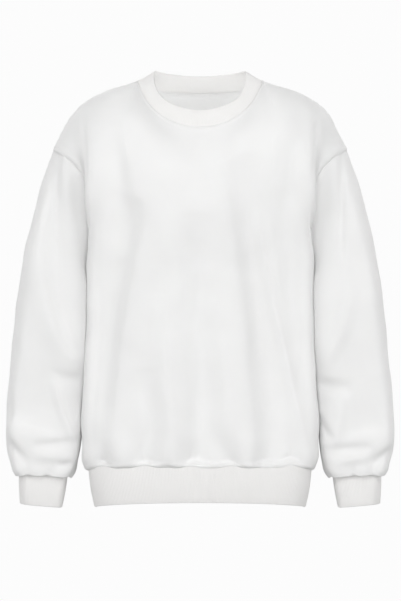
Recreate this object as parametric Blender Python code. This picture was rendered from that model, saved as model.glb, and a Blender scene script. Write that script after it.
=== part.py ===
"""A crewneck sweatshirt, filled out as when it is worn, with nothing inside it.

Metres, +Z up. The wearer faces -Y and +X is the wearer's left. The origin lies between the high
shoulder points, where the wearer's shoulders carry the garment. Each piece that is cut and sewn
is one object: a wall of cloth between an outer surface and the same surface moved inwards. The
outer surfaces are grids, splined through sections and seam lines that are given for the +X side
and mirrored. Pieces that are sewn together share the points and normals of their seam, and each
is set back from it by half of SEAM_GAP.
"""

from collections import namedtuple

import bpy
import numpy as np

# ---------------------------------------------------------------- driving dimensions
FLEECE = 0.0024  # wall of the brushed fleece
RIB = 0.0030  # wall of the folded rib, two layers
SEAM_GAP = 0.0004  # between two pieces at their seam

NECK_HALF = 8  # columns from the centre to the shoulder point
SHOULDER = 12  # columns from the shoulder point to the shoulder tip
HALF = NECK_HALF + SHOULDER
NECK_PLACE = 6.0  # places of the columns on a panel: 0 at the centre, this at the shoulder point
EDGE_PLACE = 14.0  # and this at the armhole and the side seam
HALF_PLACES = np.interp(np.arange(HALF + 1), (0, NECK_HALF, HALF), (0.0, NECK_PLACE, EDGE_PLACE))
PLACES = np.concatenate([-HALF_PLACES[:0:-1], HALF_PLACES])
LOWER_ROWS = 15  # rows from the hem seam to the armpit
UPPER_ROWS = 12  # rows from the armpit to the shoulder and neck seams
SLEEVE_ROWS = 21
BAND_ROWS = 3

SIDE_LENGTH = 0.347  # side seam, from the hem seam to the underarm
YOKE_LENGTH = 0.215  # centre front, from the armpit's level to the neck seam
HEM_ROW_CROWDING = 1.35  # rows lie closer together towards the gathered hem
SLEEVE_ROW_CROWDING = 0.5  # rows lie closer together at the armhole and the cuff

HEM_BAND_DROP = 0.0550  # from the hem seam to the bottom edge
HEM_BAND_TAPER = (0.950, 0.960)  # bottom edge over seam, across and in depth
HEM_BAND_BULGE = 0.0015
CUFF_BULGE = 0.0008
NECKBAND_BULGE = -0.0008

# ---------------------------------------------------------------- sections of the body
# up: cloth distance above the hem seam; level: height at the side; lift: how much higher the
# centre front lies; wide: half width at the front's edge fold; side: half width at the side
# seam; front, back: depths; boxy: 0 for a round section, 1 for a squarer one.
Section = namedtuple("Section", "up level lift wide side front back boxy")
BODY = (
    Section(0.000, -0.6420, 0.0095, 0.1790, 0.1790, 0.1290, 0.1240, 0.60),
    Section(0.012, -0.6310, 0.0090, 0.1855, 0.1850, 0.1315, 0.1300, 0.65),
    Section(0.040, -0.6030, 0.0080, 0.1880, 0.1850, 0.1345, 0.1360, 0.80),
    Section(0.075, -0.5680, 0.0060, 0.1885, 0.1815, 0.1350, 0.1370, 0.90),
    Section(0.130, -0.5120, 0.0040, 0.1842, 0.1750, 0.1340, 0.1350, 1.00),
    Section(0.210, -0.4320, 0.0020, 0.1800, 0.1710, 0.1320, 0.1290, 1.00),
    Section(0.285, -0.3570, 0.0000, 0.1782, 0.1695, 0.1310, 0.1240, 1.00),
    Section(0.347, -0.2980, 0.0000, 0.1782, 0.1685, 0.1320, 0.1230, 1.00),
)
ROUND_POWER = 2.15  # superellipse power of a round section
FRONT_POWERS = (16.0, 8.0)  # and of a squarer one's front, across and in depth
BACK_POWERS = (6.0, 3.4)
BOW = 0.026  # how far a squarer section bows towards its sides
FOLD_START = 0.76  # where round the quarter section the edge fold begins to turn in
FOLD_REACH = 1.043  # the superellipse's half width over that of the edge fold
SIDE_SEAM_Y = 0.005  # the side seam lies a little behind the middle
EDGE_REACH = 3.0  # places beside a panel's edge that are drawn to its seam
NECK_BLEND = 4.0  # places beside the shoulder point over which the shoulder's shape comes in
HEM_EDGE = 0.2  # share of a panel's half width, at its sides, over which the lift dies away

# ---------------------------------------------------------------- the yoke, above the armpit
# place: between the centre, 0, and the armhole, EDGE_PLACE; low and high: its points a third
# and two thirds of the way from the armpit's level to the top.
Guide = namedtuple("Guide", "place low high")
FRONT_YOKE = (
    Guide(0, (0.0000, -0.1350, -0.2180), (0.0000, -0.1230, -0.1420)),
    Guide(3, (0.0590, -0.1335, -0.2060), (0.0680, -0.1112, -0.1050)),
    Guide(6, (0.1150, -0.1250, -0.1800), (0.1220, -0.0978, -0.0730)),
    Guide(9, (0.1620, -0.1130, -0.1880), (0.1590, -0.0920, -0.0800)),
    Guide(11, (0.1830, -0.1010, -0.2060), (0.1880, -0.0860, -0.1060)),
    Guide(12.5, (0.1840, -0.0820, -0.2240), (0.1960, -0.0760, -0.1320)),
)
BACK_YOKE = (
    Guide(0, (0.0000, 0.1270, -0.2110), (0.0000, 0.1120, -0.1070)),
    Guide(3, (0.0600, 0.1255, -0.2100), (0.0580, 0.1090, -0.1060)),
    Guide(6, (0.1170, 0.1180, -0.2070), (0.1120, 0.0960, -0.1020)),
    Guide(9, (0.1600, 0.1010, -0.2090), (0.1610, 0.0850, -0.1110)),
    Guide(11, (0.1780, 0.0850, -0.2170), (0.1850, 0.0780, -0.1290)),
    Guide(12.5, (0.1800, 0.0740, -0.2270), (0.1970, 0.0720, -0.1420)),
)

# ---------------------------------------------------------------- seam lines, +X side
FRONT_NECK = (
    (0.0000, -0.0920, -0.0803),
    (0.0386, -0.0860, -0.0731),
    (0.0714, -0.0680, -0.0532),
    (0.0938, -0.0400, -0.0240),
    (0.1025, -0.0040, 0.0000),
)
BACK_NECK = (
    (0.1025, -0.0040, 0.0000),
    (0.0870, 0.0330, -0.0080),
    (0.0500, 0.0560, -0.0135),
    (0.0000, 0.0630, -0.0153),
)
SHOULDER_SEAM = (
    (0.1025, -0.0040, 0.0000),
    (0.1340, -0.0020, -0.0116),
    (0.1815, 0.0000, -0.0314),
    (0.2040, 0.0015, -0.0479),
    (0.2170, 0.0020, -0.0644),
    (0.2262, 0.0020, -0.0809),
    (0.2386, 0.0020, -0.1073),
    (0.2415, 0.0020, -0.1164),
)
FRONT_ARMHOLE = (
    (0.2415, 0.0020, -0.1164),
    (0.2375, -0.0310, -0.1180),
    (0.2280, -0.0530, -0.1235),
    (0.2120, -0.0660, -0.1345),
    (0.1965, -0.0710, -0.1520),
    (0.1865, -0.0690, -0.1680),
    (0.1775, -0.0640, -0.2050),
    (0.1710, -0.0520, -0.2520),
    (0.1690, -0.0300, -0.2860),
    (0.1690, 0.0050, -0.2980),
)
BACK_ARMHOLE = (
    (0.1690, 0.0050, -0.2980),
    (0.1735, 0.0340, -0.2860),
    (0.1780, 0.0590, -0.2530),
    (0.1825, 0.0710, -0.2080),
    (0.1925, 0.0690, -0.1690),
    (0.2140, 0.0520, -0.1360),
    (0.2290, 0.0310, -0.1230),
    (0.2415, 0.0020, -0.1164),
)
# The top edge of the neckband, from the centre front to the centre back.
NECKBAND_TOP = (
    (0.0000, -0.0820, -0.0546),
    (0.0280, -0.0790, -0.0500),
    (0.0550, -0.0660, -0.0381),
    (0.0735, -0.0400, -0.0135),
    (0.0765, -0.0040, 0.0150),
    (0.0660, 0.0290, 0.0155),
    (0.0400, 0.0510, 0.0125),
    (0.0000, 0.0580, 0.0102),
)
NECKBAND_TOP_SIDE = 4  # the entry above the shoulder point

# ---------------------------------------------------------------- rings of a sleeve and its cuff
# down: cloth distance from the armhole; outer and inner: x and z of the ring's ends; front,
# back: y of its foremost and rearmost points; bow: how far those lie below its middle; power: of
# the superellipse at its outer end.
Ring = namedtuple("Ring", "down outer inner front back bow power")
SLEEVE = (
    Ring(0.050, (0.2580, -0.1600), (0.1800, -0.3070), -0.0700, 0.0750, 0.006, 2.7),
    Ring(0.105, (0.2730, -0.2130), (0.1785, -0.3270), -0.0730, 0.0770, 0.006, 3.0),
    Ring(0.165, (0.2855, -0.2660), (0.1765, -0.3540), -0.0750, 0.0740, 0.005, 3.2),
    Ring(0.235, (0.2975, -0.3380), (0.1762, -0.4020), -0.0765, 0.0680, 0.004, 3.4),
    Ring(0.345, (0.3096, -0.4510), (0.1802, -0.4750), -0.0740, 0.0560, 0.002, 3.6),
    Ring(0.425, (0.3162, -0.5300), (0.1885, -0.5370), -0.0750, 0.0430, 0.000, 4.2),
    Ring(0.475, (0.3180, -0.5800), (0.1938, -0.5800), -0.0815, 0.0350, 0.000, 4.3),
    Ring(0.508, (0.3138, -0.6160), (0.1980, -0.6140), -0.0805, 0.0260, 0.000, 4.0),
    Ring(0.527, (0.3060, -0.6335), (0.2050, -0.6350), -0.0780, 0.0170, 0.000, 3.9),
    Ring(0.543, (0.2965, -0.6425), (0.2170, -0.6470), -0.0730, 0.0060, 0.000, 3.4),
)
CUFF_END = Ring(0.054, (0.2952, -0.6930), (0.2255, -0.6990), -0.0710, -0.0010, 0.000, 2.4)
INNER_POWERS = (2.4, 1.0)  # the power at a ring's inner end, over its outer one: front and back

# ---------------------------------------------------------------- folds and gathers
# A fold runs along a bent line through three points, seen from the front: right and left are its
# half widths beside that way, and depth is how far it sinks in (or stands out, below zero).
Fold = namedtuple("Fold", "start middle end right left depth")
FRONT_FOLDS = (
    Fold((-0.103, -0.195), (-0.144, -0.370), (-0.172, -0.640), 0.040, 0.020, 0.0170),
    Fold((-0.143, -0.050), (-0.131, -0.165), (-0.124, -0.290), 0.022, 0.018, 0.0070),
    Fold((-0.086, -0.470), (-0.078, -0.560), (-0.062, -0.700), 0.018, 0.024, 0.0060),
    Fold((-0.062, -0.350), (-0.054, -0.500), (-0.042, -0.690), 0.022, 0.018, -0.0070),
    Fold((-0.002, -0.220), (0.003, -0.430), (0.006, -0.760), 0.028, 0.042, 0.0150),
    Fold((-0.004, -0.460), (0.000, -0.560), (-0.002, -0.680), 0.016, 0.026, 0.0055),
    Fold((0.018, -0.260), (0.030, -0.440), (0.066, -0.680), 0.019, 0.019, -0.0050),
    Fold((0.056, -0.130), (0.102, -0.400), (0.134, -0.820), 0.025, 0.040, 0.0270),
    Fold((0.134, -0.180), (0.154, -0.345), (0.186, -0.590), 0.020, 0.034, 0.0130),
    Fold((0.152, -0.090), (0.148, -0.160), (0.138, -0.230), 0.018, 0.018, 0.0040),
)
BACK_FOLDS = (
    Fold((-0.090, -0.180), (-0.112, -0.340), (-0.145, -0.560), 0.030, 0.016, 0.0100),
    Fold((0.098, -0.190), (0.114, -0.350), (0.150, -0.580), 0.017, 0.032, 0.0090),
    Fold((-0.034, -0.260), (-0.038, -0.400), (-0.050, -0.600), 0.022, 0.018, 0.0070),
    Fold((0.040, -0.300), (0.042, -0.420), (0.046, -0.610), 0.018, 0.022, 0.0060),
    Fold((0.004, -0.290), (0.004, -0.430), (0.000, -0.600), 0.018, 0.018, -0.0050),
)
SLEEVE_FOLDS = {
    "left": (
        Fold((-0.233, -0.080), (-0.236, -0.197), (-0.231, -0.345), 0.014, 0.008, 0.0070),
        Fold((-0.231, -0.320), (-0.221, -0.391), (-0.195, -0.454), 0.010, 0.014, 0.0050),
        Fold((-0.214, -0.140), (-0.214, -0.205), (-0.208, -0.290), 0.008, 0.012, -0.0030),
        Fold((-0.264, -0.200), (-0.249, -0.378), (-0.194, -0.474), 0.020, 0.012, -0.0075),
        Fold((-0.244, -0.486), (-0.213, -0.489), (-0.182, -0.496), 0.014, 0.010, 0.0040),
        Fold((-0.330, -0.536), (-0.268, -0.554), (-0.208, -0.573), 0.018, 0.038, 0.0095),
        Fold((-0.324, -0.586), (-0.302, -0.608), (-0.276, -0.630), 0.011, 0.010, 0.0080),
    ),
    "right": (
        Fold((0.248, -0.310), (0.232, -0.408), (0.196, -0.470), 0.014, 0.012, -0.0050),
        Fold((0.180, -0.496), (0.217, -0.502), (0.250, -0.507), 0.010, 0.011, 0.0065),
        Fold((0.226, -0.510), (0.229, -0.545), (0.225, -0.580), 0.009, 0.012, -0.0035),
        Fold((0.222, -0.582), (0.267, -0.564), (0.320, -0.560), 0.017, 0.034, 0.0088),
        Fold((0.192, -0.545), (0.204, -0.576), (0.222, -0.590), 0.010, 0.010, 0.0060),
    ),
}
SLEEVE_BACK_FOLDS = (
    Fold((0.262, -0.190), (0.250, -0.300), (0.215, -0.420), 0.012, 0.016, 0.0070),
    Fold((0.205, -0.395), (0.245, -0.405), (0.290, -0.390), 0.012, 0.022, 0.0070),
    Fold((0.210, -0.470), (0.250, -0.490), (0.300, -0.480), 0.012, 0.020, 0.0065),
    Fold((0.215, -0.570), (0.265, -0.580), (0.310, -0.560), 0.011, 0.024, 0.0085),
)
FACING_SHARPNESS = 2.0  # how soon the folds fade out where the cloth turns from their side
BODY_FACING = 0.7  # and how much sooner on the body
FOLD_SEAM_FADE = 0.010  # the body's folds die away over this distance from the seams

# A gather is a dent that rises from a band's seam: at is x on the body, or the share of the way
# round a cuff from its outer side; tall is how high it reaches and lean how far its top shifts.
Gather = namedtuple("Gather", "at width depth tall lean")
FRONT_GATHERS = (
    Gather(-0.158, 0.011, 0.0065, 0.055, 0.004),
    Gather(-0.089, 0.013, 0.0075, 0.080, -0.006),
    Gather(-0.050, 0.009, 0.0020, 0.040, 0.002),
    Gather(-0.014, 0.012, 0.0060, 0.060, -0.003),
    Gather(0.051, 0.012, 0.0070, 0.065, -0.004),
    Gather(0.102, 0.010, 0.0025, 0.050, 0.003),
    Gather(0.148, 0.012, 0.0085, 0.070, 0.008),
)
BACK_GATHERS = (
    Gather(-0.150, 0.012, 0.0055, 0.060, 0.003),
    Gather(-0.096, 0.011, 0.0050, 0.055, -0.003),
    Gather(-0.044, 0.013, 0.0065, 0.080, 0.004),
    Gather(0.012, 0.011, 0.0045, 0.050, -0.002),
    Gather(0.068, 0.012, 0.0060, 0.070, 0.004),
    Gather(0.128, 0.012, 0.0060, 0.060, -0.005),
)
CUFF_GATHERS = (
    Gather(0.06, 0.022, 0.0035, 0.026, 0.0),
    Gather(0.17, 0.020, 0.0040, 0.030, 0.0),
    Gather(0.27, 0.022, 0.0040, 0.024, 0.0),
    Gather(0.39, 0.022, 0.0045, 0.030, 0.0),
    Gather(0.52, 0.024, 0.0040, 0.028, 0.0),
    Gather(0.64, 0.022, 0.0045, 0.032, 0.0),
    Gather(0.76, 0.022, 0.0040, 0.026, 0.0),
    Gather(0.88, 0.024, 0.0040, 0.030, 0.0),
)
GATHER_PEAK = 0.10  # share of a gather's height at which it is deepest
GATHER_SPREAD = 0.8  # how much wider a gather is at its top, over its width at the seam
CREST_PLACE = 2.1  # the crests beside a gather: their place, in widths from its middle
CREST_HEIGHT = 0.35  # and their height, over its depth
CUFF_GATHER_LEVEL = 0.25  # share of a cuff gather's depth by which the cloth between stands out
SEAM_LIFT = 0.0035  # how far a gather of LIFTING_DEPTH pulls the hem seam up
LIFTING_DEPTH = 0.0060
LIFTING_WIDTH = 1.2  # half width of the lifted stretch, over that of its gather
SEAM_LIFT_FADE = 0.030  # height over which the lift dies away

# ---------------------------------------------------------------- edges of the walls
FOLD_ROUND = 0.4  # how far a folded edge stands out, over its wall
RANK_DIRECTION = (0.31, 0.57, 0.76)  # slanted to every seam, so that no two neighbours tie

# ---------------------------------------------------------------- finish
SHARP_ANGLE = 0.9  # radians: the cut edges of the walls are sharp
FLEECE_ROUGHNESS = 0.95
RIB_ROUGHNESS = 0.92
FLEECE_COLOUR = (0.86, 0.86, 0.855, 1.0)
RIB_COLOUR = (0.86, 0.855, 0.845, 1.0)

# ---------------------------------------------------------------- fineness of curves
LINE_STEPS = 40  # between two points of a seam
SECTION_STEPS = 400  # round a quarter of a body section
RING_STEPS = 600  # round half a sleeve
FOLD_STEPS = 61  # along a fold
FOLD_FULLNESS = 0.8  # below 1, a fold keeps its depth over more of its length


# ---------------------------------------------------------------- curves
def spline(knots, values, at):
    """Natural cubic spline through values (one row per knot), read at the given places."""
    knots = np.asarray(knots, float)
    values = np.asarray(values, float)
    at = np.asarray(at, float)
    shape = values.shape[1:]
    values = values.reshape(len(knots), -1)
    step = np.diff(knots)
    slope = np.diff(values, axis=0) / step[:, None]
    system = np.eye(len(knots))
    right = np.zeros_like(values)
    for i in range(1, len(knots) - 1):
        system[i, i - 1 : i + 2] = step[i - 1], 2 * (step[i - 1] + step[i]), step[i]
        right[i] = 6 * (slope[i] - slope[i - 1])
    bend = np.linalg.solve(system, right)
    i = np.clip(np.searchsorted(knots, at) - 1, 0, len(step) - 1)
    after = (at - knots[i])[:, None]
    before = (knots[i + 1] - at)[:, None]
    wide = step[i][:, None]
    result = (bend[i] * before**3 + bend[i + 1] * after**3) / (6 * wide)
    result += (values[i] / wide - bend[i] * wide / 6) * before
    result += (values[i + 1] / wide - bend[i + 1] * wide / 6) * after
    return result.reshape((len(at), *shape))


def chord_knots(points):
    """The distance along the straight lines between points, at each point."""
    steps = np.linalg.norm(np.diff(points, axis=0), axis=1)
    return np.concatenate([[0.0], np.cumsum(steps)])


def at_shares(points, shares):
    """Points at the given shares of a dense line's length."""
    along = chord_knots(points)
    at = np.asarray(shares) * along[-1]
    return np.stack([np.interp(at, along, points[:, k]) for k in range(3)], axis=1)


def evenly(points, count):
    """count + 1 points, evenly spaced along a dense line of points."""
    return at_shares(points, np.linspace(0.0, 1.0, count + 1))


def dense_line(points, closed):
    """A smooth line through the points, as one dense array for each stretch between two."""
    points = np.asarray(points, float)
    extra = 3 if closed else 0
    if closed:
        points = np.concatenate([points[-extra:], points, points[: extra + 1]])
    knots = chord_knots(points)
    stretches = []
    for i in range(extra, len(points) - 1 - extra):
        at = np.linspace(knots[i], knots[i + 1], LINE_STEPS + 1)
        stretches.append(spline(knots, points, at))
    return stretches


def joined(stretches):
    """Stretches of a line, one after another, as one array."""
    return np.concatenate([stretches[0], *[s[1:] for s in stretches[1:]]])


def mirrored(points):
    return np.asarray(points, float) * (-1, 1, 1)


def smooth(value):
    """0 below 0, 1 above 1, and an even ramp between."""
    value = np.clip(value, 0.0, 1.0)
    return value * value * (3 - 2 * value)


# ---------------------------------------------------------------- seams
def ring_of(front_half, back_half, front_count, back_count):
    """A ring through both half lines, from the left side round the front to the right side and
    back round the back. Returns its front points and its back points, both left to right."""
    front_half = np.asarray(front_half, float)
    back_half = np.asarray(back_half, float)
    left_front = mirrored(front_half[1:])[::-1]
    left_back = mirrored(back_half[1:-1])[::-1]
    points = np.concatenate([left_front, front_half, back_half[1:], left_back])
    lines = dense_line(points, closed=True)
    turn = 2 * (len(front_half) - 1)
    front = evenly(joined(lines[:turn]), front_count)
    back = evenly(joined(lines[turn:]), back_count)[::-1]
    return front, back


def armhole():
    """The armhole of the +X side: its front and back halves, each from the tip to the underarm."""
    points = np.array([*FRONT_ARMHOLE, *BACK_ARMHOLE[1:-1]])
    lines = dense_line(points, closed=True)
    turn = len(FRONT_ARMHOLE) - 1
    front = evenly(joined(lines[:turn]), UPPER_ROWS)
    back = evenly(joined(lines[turn:]), UPPER_ROWS)[::-1]
    return front, back


def gathered(at, gathers):
    """How strongly each place along the hem seam is pulled up: a bell at each gather."""
    pull = np.zeros(len(at))
    for g in gathers:
        width = LIFTING_WIDTH * g.width
        pull += g.depth / LIFTING_DEPTH * np.exp(-(((at - g.at) / width) ** 2))
    return pull


def gather_swell(share):
    """How deep a gather is at a share of its height: it rises to its peak and fades above."""
    rising = smooth(share / GATHER_PEAK)
    return rising * (1 - smooth((share - GATHER_PEAK) / (1 - GATHER_PEAK)))


# ---------------------------------------------------------------- body panels
def section_half(section, depth, facing):
    """Half of a body section, from the centre to the side: x = reach * sin(turn) ** e, less the
    turned-in edge, and y = depth * cos(turn) ** f, less a bow towards the side."""
    boxy_powers = FRONT_POWERS if facing < 0 else BACK_POWERS
    powers = [ROUND_POWER + (power - ROUND_POWER) * section.boxy for power in boxy_powers]
    turn = np.linspace(0.0, 1.0, SECTION_STEPS)
    angle = turn * np.pi / 2
    wide = section.wide * (1 + (FOLD_REACH - 1) * section.boxy)
    turned_in = smooth((turn - FOLD_START) / (1 - FOLD_START))
    across = np.sin(angle) ** (2 / powers[0])
    x = wide * across - (wide - section.side) * turned_in
    deep = depth * np.cos(angle) ** (2 / powers[1])
    deep = deep - BOW * section.boxy * across**2 * (1 - turned_in)
    y = facing * deep + SIDE_SEAM_Y * smooth(turn)
    z = section.level + section.lift * np.cos(angle) * (facing < 0)
    points = np.stack([x, y, np.broadcast_to(z, x.shape)], axis=1)
    points[-1] = section.side, SIDE_SEAM_Y, section.level
    return at_shares(points, HALF_PLACES / EDGE_PLACE)


def panel_lines(facing, yoke, neck, seam_points):
    """The rows of points that a panel is splined through, from the hem seam to its top, each
    from -X to +X. The top row is the shoulder seams with the neck seam between them."""
    lines = []
    for section in BODY:
        half = section_half(section, section.front if facing < 0 else section.back, facing)
        lines.append(np.concatenate([mirrored(half[1:])[::-1], half]))
    for share, name in ((1 / 3, "low"), (2 / 3, "high")):
        at_seam = seam_points[round(share * UPPER_ROWS)]
        half = np.array([*[getattr(guide, name) for guide in yoke], at_seam])
        places = np.array([*[guide.place for guide in yoke], EDGE_PLACE], float)
        points = np.concatenate([mirrored(half[1:])[::-1], half])
        places = np.concatenate([-places[1:][::-1], places])
        lines.append(spline(places, points, PLACES))
    shoulder = evenly(joined(dense_line(SHOULDER_SEAM, closed=False)), SHOULDER)
    lines.append(np.concatenate([mirrored(shoulder[1:])[::-1], neck, shoulder[1:]]))
    return np.array(lines)


def panel(lines, other_lines, seam_points, gathers):
    """The outer surface of a body panel: a grid of rows from the hem seam to the shoulders and
    neck. On the shoulders it runs on smoothly into the other panel."""
    third = YOKE_LENGTH / 3
    knots = [*[section.up for section in BODY], *[SIDE_LENGTH + third * k for k in (1, 2, 3)]]
    rise = np.arange(LOWER_ROWS + 1) / LOWER_ROWS
    lower = SIDE_LENGTH * rise**HEM_ROW_CROWDING
    upper = SIDE_LENGTH + YOKE_LENGTH * np.arange(1, UPPER_ROWS + 1) / UPPER_ROWS
    rows = np.concatenate([lower, upper])
    alone = spline(knots, lines, rows)
    beyond = np.concatenate([lines, other_lines[-2:-4:-1]])
    carried_on = spline([*knots, knots[-1] + third, knots[-1] + 2 * third], beyond, rows)
    past_neck = abs(PLACES) - (NECK_PLACE - NECK_BLEND / 2)
    on_shoulder = smooth(past_neck / NECK_BLEND)[None, :, None]
    grid = alone + (carried_on - alone) * on_shoulder

    # Both edges are laid on the side seam and the armhole, and the columns beside them follow.
    side_seam = spline(knots[: len(BODY)], lines[: len(BODY), -1], rows[:LOWER_ROWS])
    exact = np.concatenate([side_seam, seam_points])
    for sign, edge in ((-1, 0), (1, -1)):
        miss = exact * (sign, 1, 1) - grid[:, edge]
        reach = smooth((sign * PLACES - EDGE_PLACE) / EDGE_REACH + 1)
        grid += miss[:, None, :] * reach[None, :, None]

    # The hem seam rises at each gather, and so do the rows above it, less and less.
    inside = smooth((1 - abs(PLACES) / EDGE_PLACE) / HEM_EDGE)
    lift = SEAM_LIFT * gathered(grid[0, :, 0], gathers) * inside
    fade = np.exp(-rows / SEAM_LIFT_FADE)
    grid[:, :, 2] += fade[:, None] * lift[None, :]
    return grid, rows


def body_gathers(grid, rows, gathers):
    """How far each point of a panel sinks into the gathers that rise from the hem seam: a bell
    across each gather, less a lower crest on each side of it."""
    depth = np.zeros(grid.shape[:2])
    up = rows[:, None]
    for g in gathers:
        share = np.clip(up / g.tall, 0.0, 1.0)
        centre = g.at + g.lean * share
        width = g.width * (1 + GATHER_SPREAD * share)
        off = abs(grid[:, :, 0] - centre) / width
        dent = np.exp(-(off**2)) - CREST_HEIGHT * np.exp(-((off - CREST_PLACE) ** 2))
        depth += g.depth * gather_swell(share) * dent
    return depth


# ---------------------------------------------------------------- sleeves and bands
def ring_points(ring, count):
    """A ring of 2 * count points, from its outer end round the front to its inner end and back
    round the back: middle + cos(turn) ** e * half length + sin(turn) ** e * depth, with e = 2 /
    power, and each half evenly spaced."""
    turn = np.linspace(0.0, np.pi, RING_STEPS)
    outer = np.array([ring.outer[0], 0.0, ring.outer[1]])
    inner = np.array([ring.inner[0], 0.0, ring.inner[1]])
    halves = []
    for facing, squareness in zip((-1, 1), INNER_POWERS):
        power = ring.power * (1 + (squareness - 1) * (1 - np.cos(turn)) / 2)
        along = np.sign(np.cos(turn)) * abs(np.cos(turn)) ** (2 / power)
        across = np.sin(turn) ** (2 / power)
        points = (outer + inner) / 2 + along[:, None] * (outer - inner) / 2
        points[:, 1] += (ring.front + ring.back) / 2
        points[:, 1] += facing * (ring.back - ring.front) / 2 * across
        points[:, 2] -= ring.bow * across**2
        halves.append(evenly(points, count))
    return np.concatenate([halves[0], halves[1][-2:0:-1]])


def sleeve_grid():
    """The outer surface of the +X sleeve: rows of rings from the armhole to the cuff seam."""
    front, back = armhole()
    loop = np.concatenate([front, back[::-1][1:-1]])
    lines = [loop, *[ring_points(ring, UPPER_ROWS) for ring in SLEEVE]]
    knots = [0.0, *[ring.down for ring in SLEEVE]]
    fall = np.arange(SLEEVE_ROWS + 1) / SLEEVE_ROWS
    rows = knots[-1] * (fall - SLEEVE_ROW_CROWDING * np.sin(2 * np.pi * fall) / (2 * np.pi))
    return spline(knots, np.array(lines), rows), rows


def cuff_gathers(shape, rows):
    """How far each point of a sleeve sinks into the gathers above its cuff."""
    around = np.arange(shape[1]) / shape[1]
    above = (rows[-1] - rows)[:, None]
    depth = np.zeros(shape[:2])
    for g in CUFF_GATHERS:
        off = (around - g.at + 0.5) % 1.0 - 0.5
        swell = gather_swell(np.clip(above / g.tall, 0.0, 1.0))
        depth += g.depth * swell * (np.exp(-((off / g.width) ** 2))[None, :] - CUFF_GATHER_LEVEL)
    return depth


def band_grid(seam, end, bulge, sense):
    """Rows of rings from a seam to a band's end, bowed outwards between them."""
    shares = np.linspace(0.0, 1.0, BAND_ROWS + 1)[:, None, None]
    grid = seam[None] * (1 - shares) + end[None] * shares
    outward = normals_of(grid, closed=True, sense=sense)
    return grid + outward * bulge * np.sin(np.pi * shares)


# ---------------------------------------------------------------- surfaces and walls
def normals_of(grid, closed, sense):
    """Unit normals of a grid, from the differences to its neighbours. sense is 1 where columns
    crossed with rows point out of the garment, and -1 where they point into it."""
    if closed:
        across = np.roll(grid, -1, axis=1) - np.roll(grid, 1, axis=1)
    else:
        across = np.gradient(grid, axis=1)
    along = np.gradient(grid, axis=0)
    normal = np.cross(across, along) * sense
    return normal / np.maximum(np.linalg.norm(normal, axis=2, keepdims=True), 1e-12)


def fold_depth(points, folds):
    """How far each point sinks into the folds: a bell across each fold's bent line, in x and z,
    with a half width of its own on either side, that fades out towards both ends."""
    flat = points[..., [0, 2]]
    depth = np.zeros(points.shape[:-1])
    steps = np.linspace(0.0, 1.0, FOLD_STEPS)
    for fold in folds:
        start, middle, end = (np.array(p) for p in (fold.start, fold.middle, fold.end))
        bend = 2 * middle - (start + end) / 2
        line = (
            np.outer((1 - steps) ** 2, start)
            + np.outer(2 * steps * (1 - steps), bend)
            + np.outer(steps**2, end)
        )
        nearest = np.linalg.norm(flat[..., None, :] - line, axis=-1).argmin(axis=-1)
        off = flat - line[nearest]
        way = np.gradient(line, axis=0)[nearest]
        stride = np.linalg.norm(way, axis=-1)
        side = (off[..., 1] * way[..., 0] - off[..., 0] * way[..., 1]) / stride
        place = (nearest + (off * way).sum(axis=-1) / stride**2) / (FOLD_STEPS - 1)
        to_left = smooth(0.5 + side / (fold.right + fold.left))
        width = fold.right + (fold.left - fold.right) * to_left
        fade = np.sin(np.pi * np.clip(place, 0.001, 0.999)) ** FOLD_FULLNESS
        depth += fold.depth * fade * np.exp(-((side / width) ** 2))
    return depth


def along_lines(grid, axis):
    """How far each point of a grid lies along its line from the line's start."""
    steps = np.linalg.norm(np.diff(grid, axis=axis), axis=2)
    return np.insert(np.cumsum(steps, axis=axis), 0, 0.0, axis=axis)


def edge_distance(grid):
    """How far each point of a grid lies from the nearest of its four edges."""
    up, across = along_lines(grid, 0), along_lines(grid, 1)
    return np.minimum(np.minimum(up, up[-1:] - up), np.minimum(across, across[:, -1:] - across))


# sense: see normals_of; closed: a ring; wall: thickness; folded_end: the last row is a fold.
Piece = namedtuple("Piece", "name grid normal sense closed wall folded_end material")


def border_of(grid, closed):
    """The border points of a grid: (row, column) and the direction from each into the grid."""
    into = {}

    def edge(rows, columns, line, beside):
        if closed:
            along = np.roll(line, -1, axis=0) - np.roll(line, 1, axis=0)
        else:
            along = np.gradient(line, axis=0)
        along = along / np.linalg.norm(along, axis=1, keepdims=True)
        inward = beside - line
        inward = inward - (inward * along).sum(axis=1, keepdims=True) * along
        inward = inward / np.linalg.norm(inward, axis=1, keepdims=True)
        for i, j, direction in zip(rows, columns, inward):
            into[i, j] = into.get((i, j), 0) + direction

    rows, columns = grid.shape[:2]
    for row, beside in ((0, 1), (rows - 1, rows - 2)):
        edge([row] * columns, range(columns), grid[row], grid[beside])
    if not closed:
        for column, beside in ((0, 1), (columns - 1, columns - 2)):
            edge(range(rows), [column] * rows, grid[:, column], grid[:, beside])
    return {place: way / np.linalg.norm(way) for place, way in into.items()}


def sewn(pieces):
    """Where pieces meet, they get one normal, the mean of theirs, and each piece's border is
    set back from the others. Returns the outer grid of each piece."""
    meeting = {}
    borders = [border_of(piece.grid, piece.closed) for piece in pieces]
    for piece, border in zip(pieces, borders):
        for place, way in border.items():
            key = tuple(np.round(piece.grid[place], 6))
            meeting.setdefault(key, []).append((piece, place, way))
    outers = {piece.name: piece.grid.copy() for piece in pieces}
    for group in meeting.values():
        if len(group) < 2:
            continue
        normal = sum(piece.normal[place] for piece, place, way in group)
        normal /= np.linalg.norm(normal)
        total = sum(way for piece, place, way in group)
        for piece, place, way in group:
            away = way - (total - way) / (len(group) - 1)
            away -= (away @ normal) * normal
            outers[piece.name][place] += away / np.linalg.norm(away) * SEAM_GAP / 2
            piece.normal[place] = normal
    return outers


def quads(a, b, c, d):
    return np.stack([a.ravel(), b.ravel(), c.ravel(), d.ravel()], axis=1)


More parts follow.
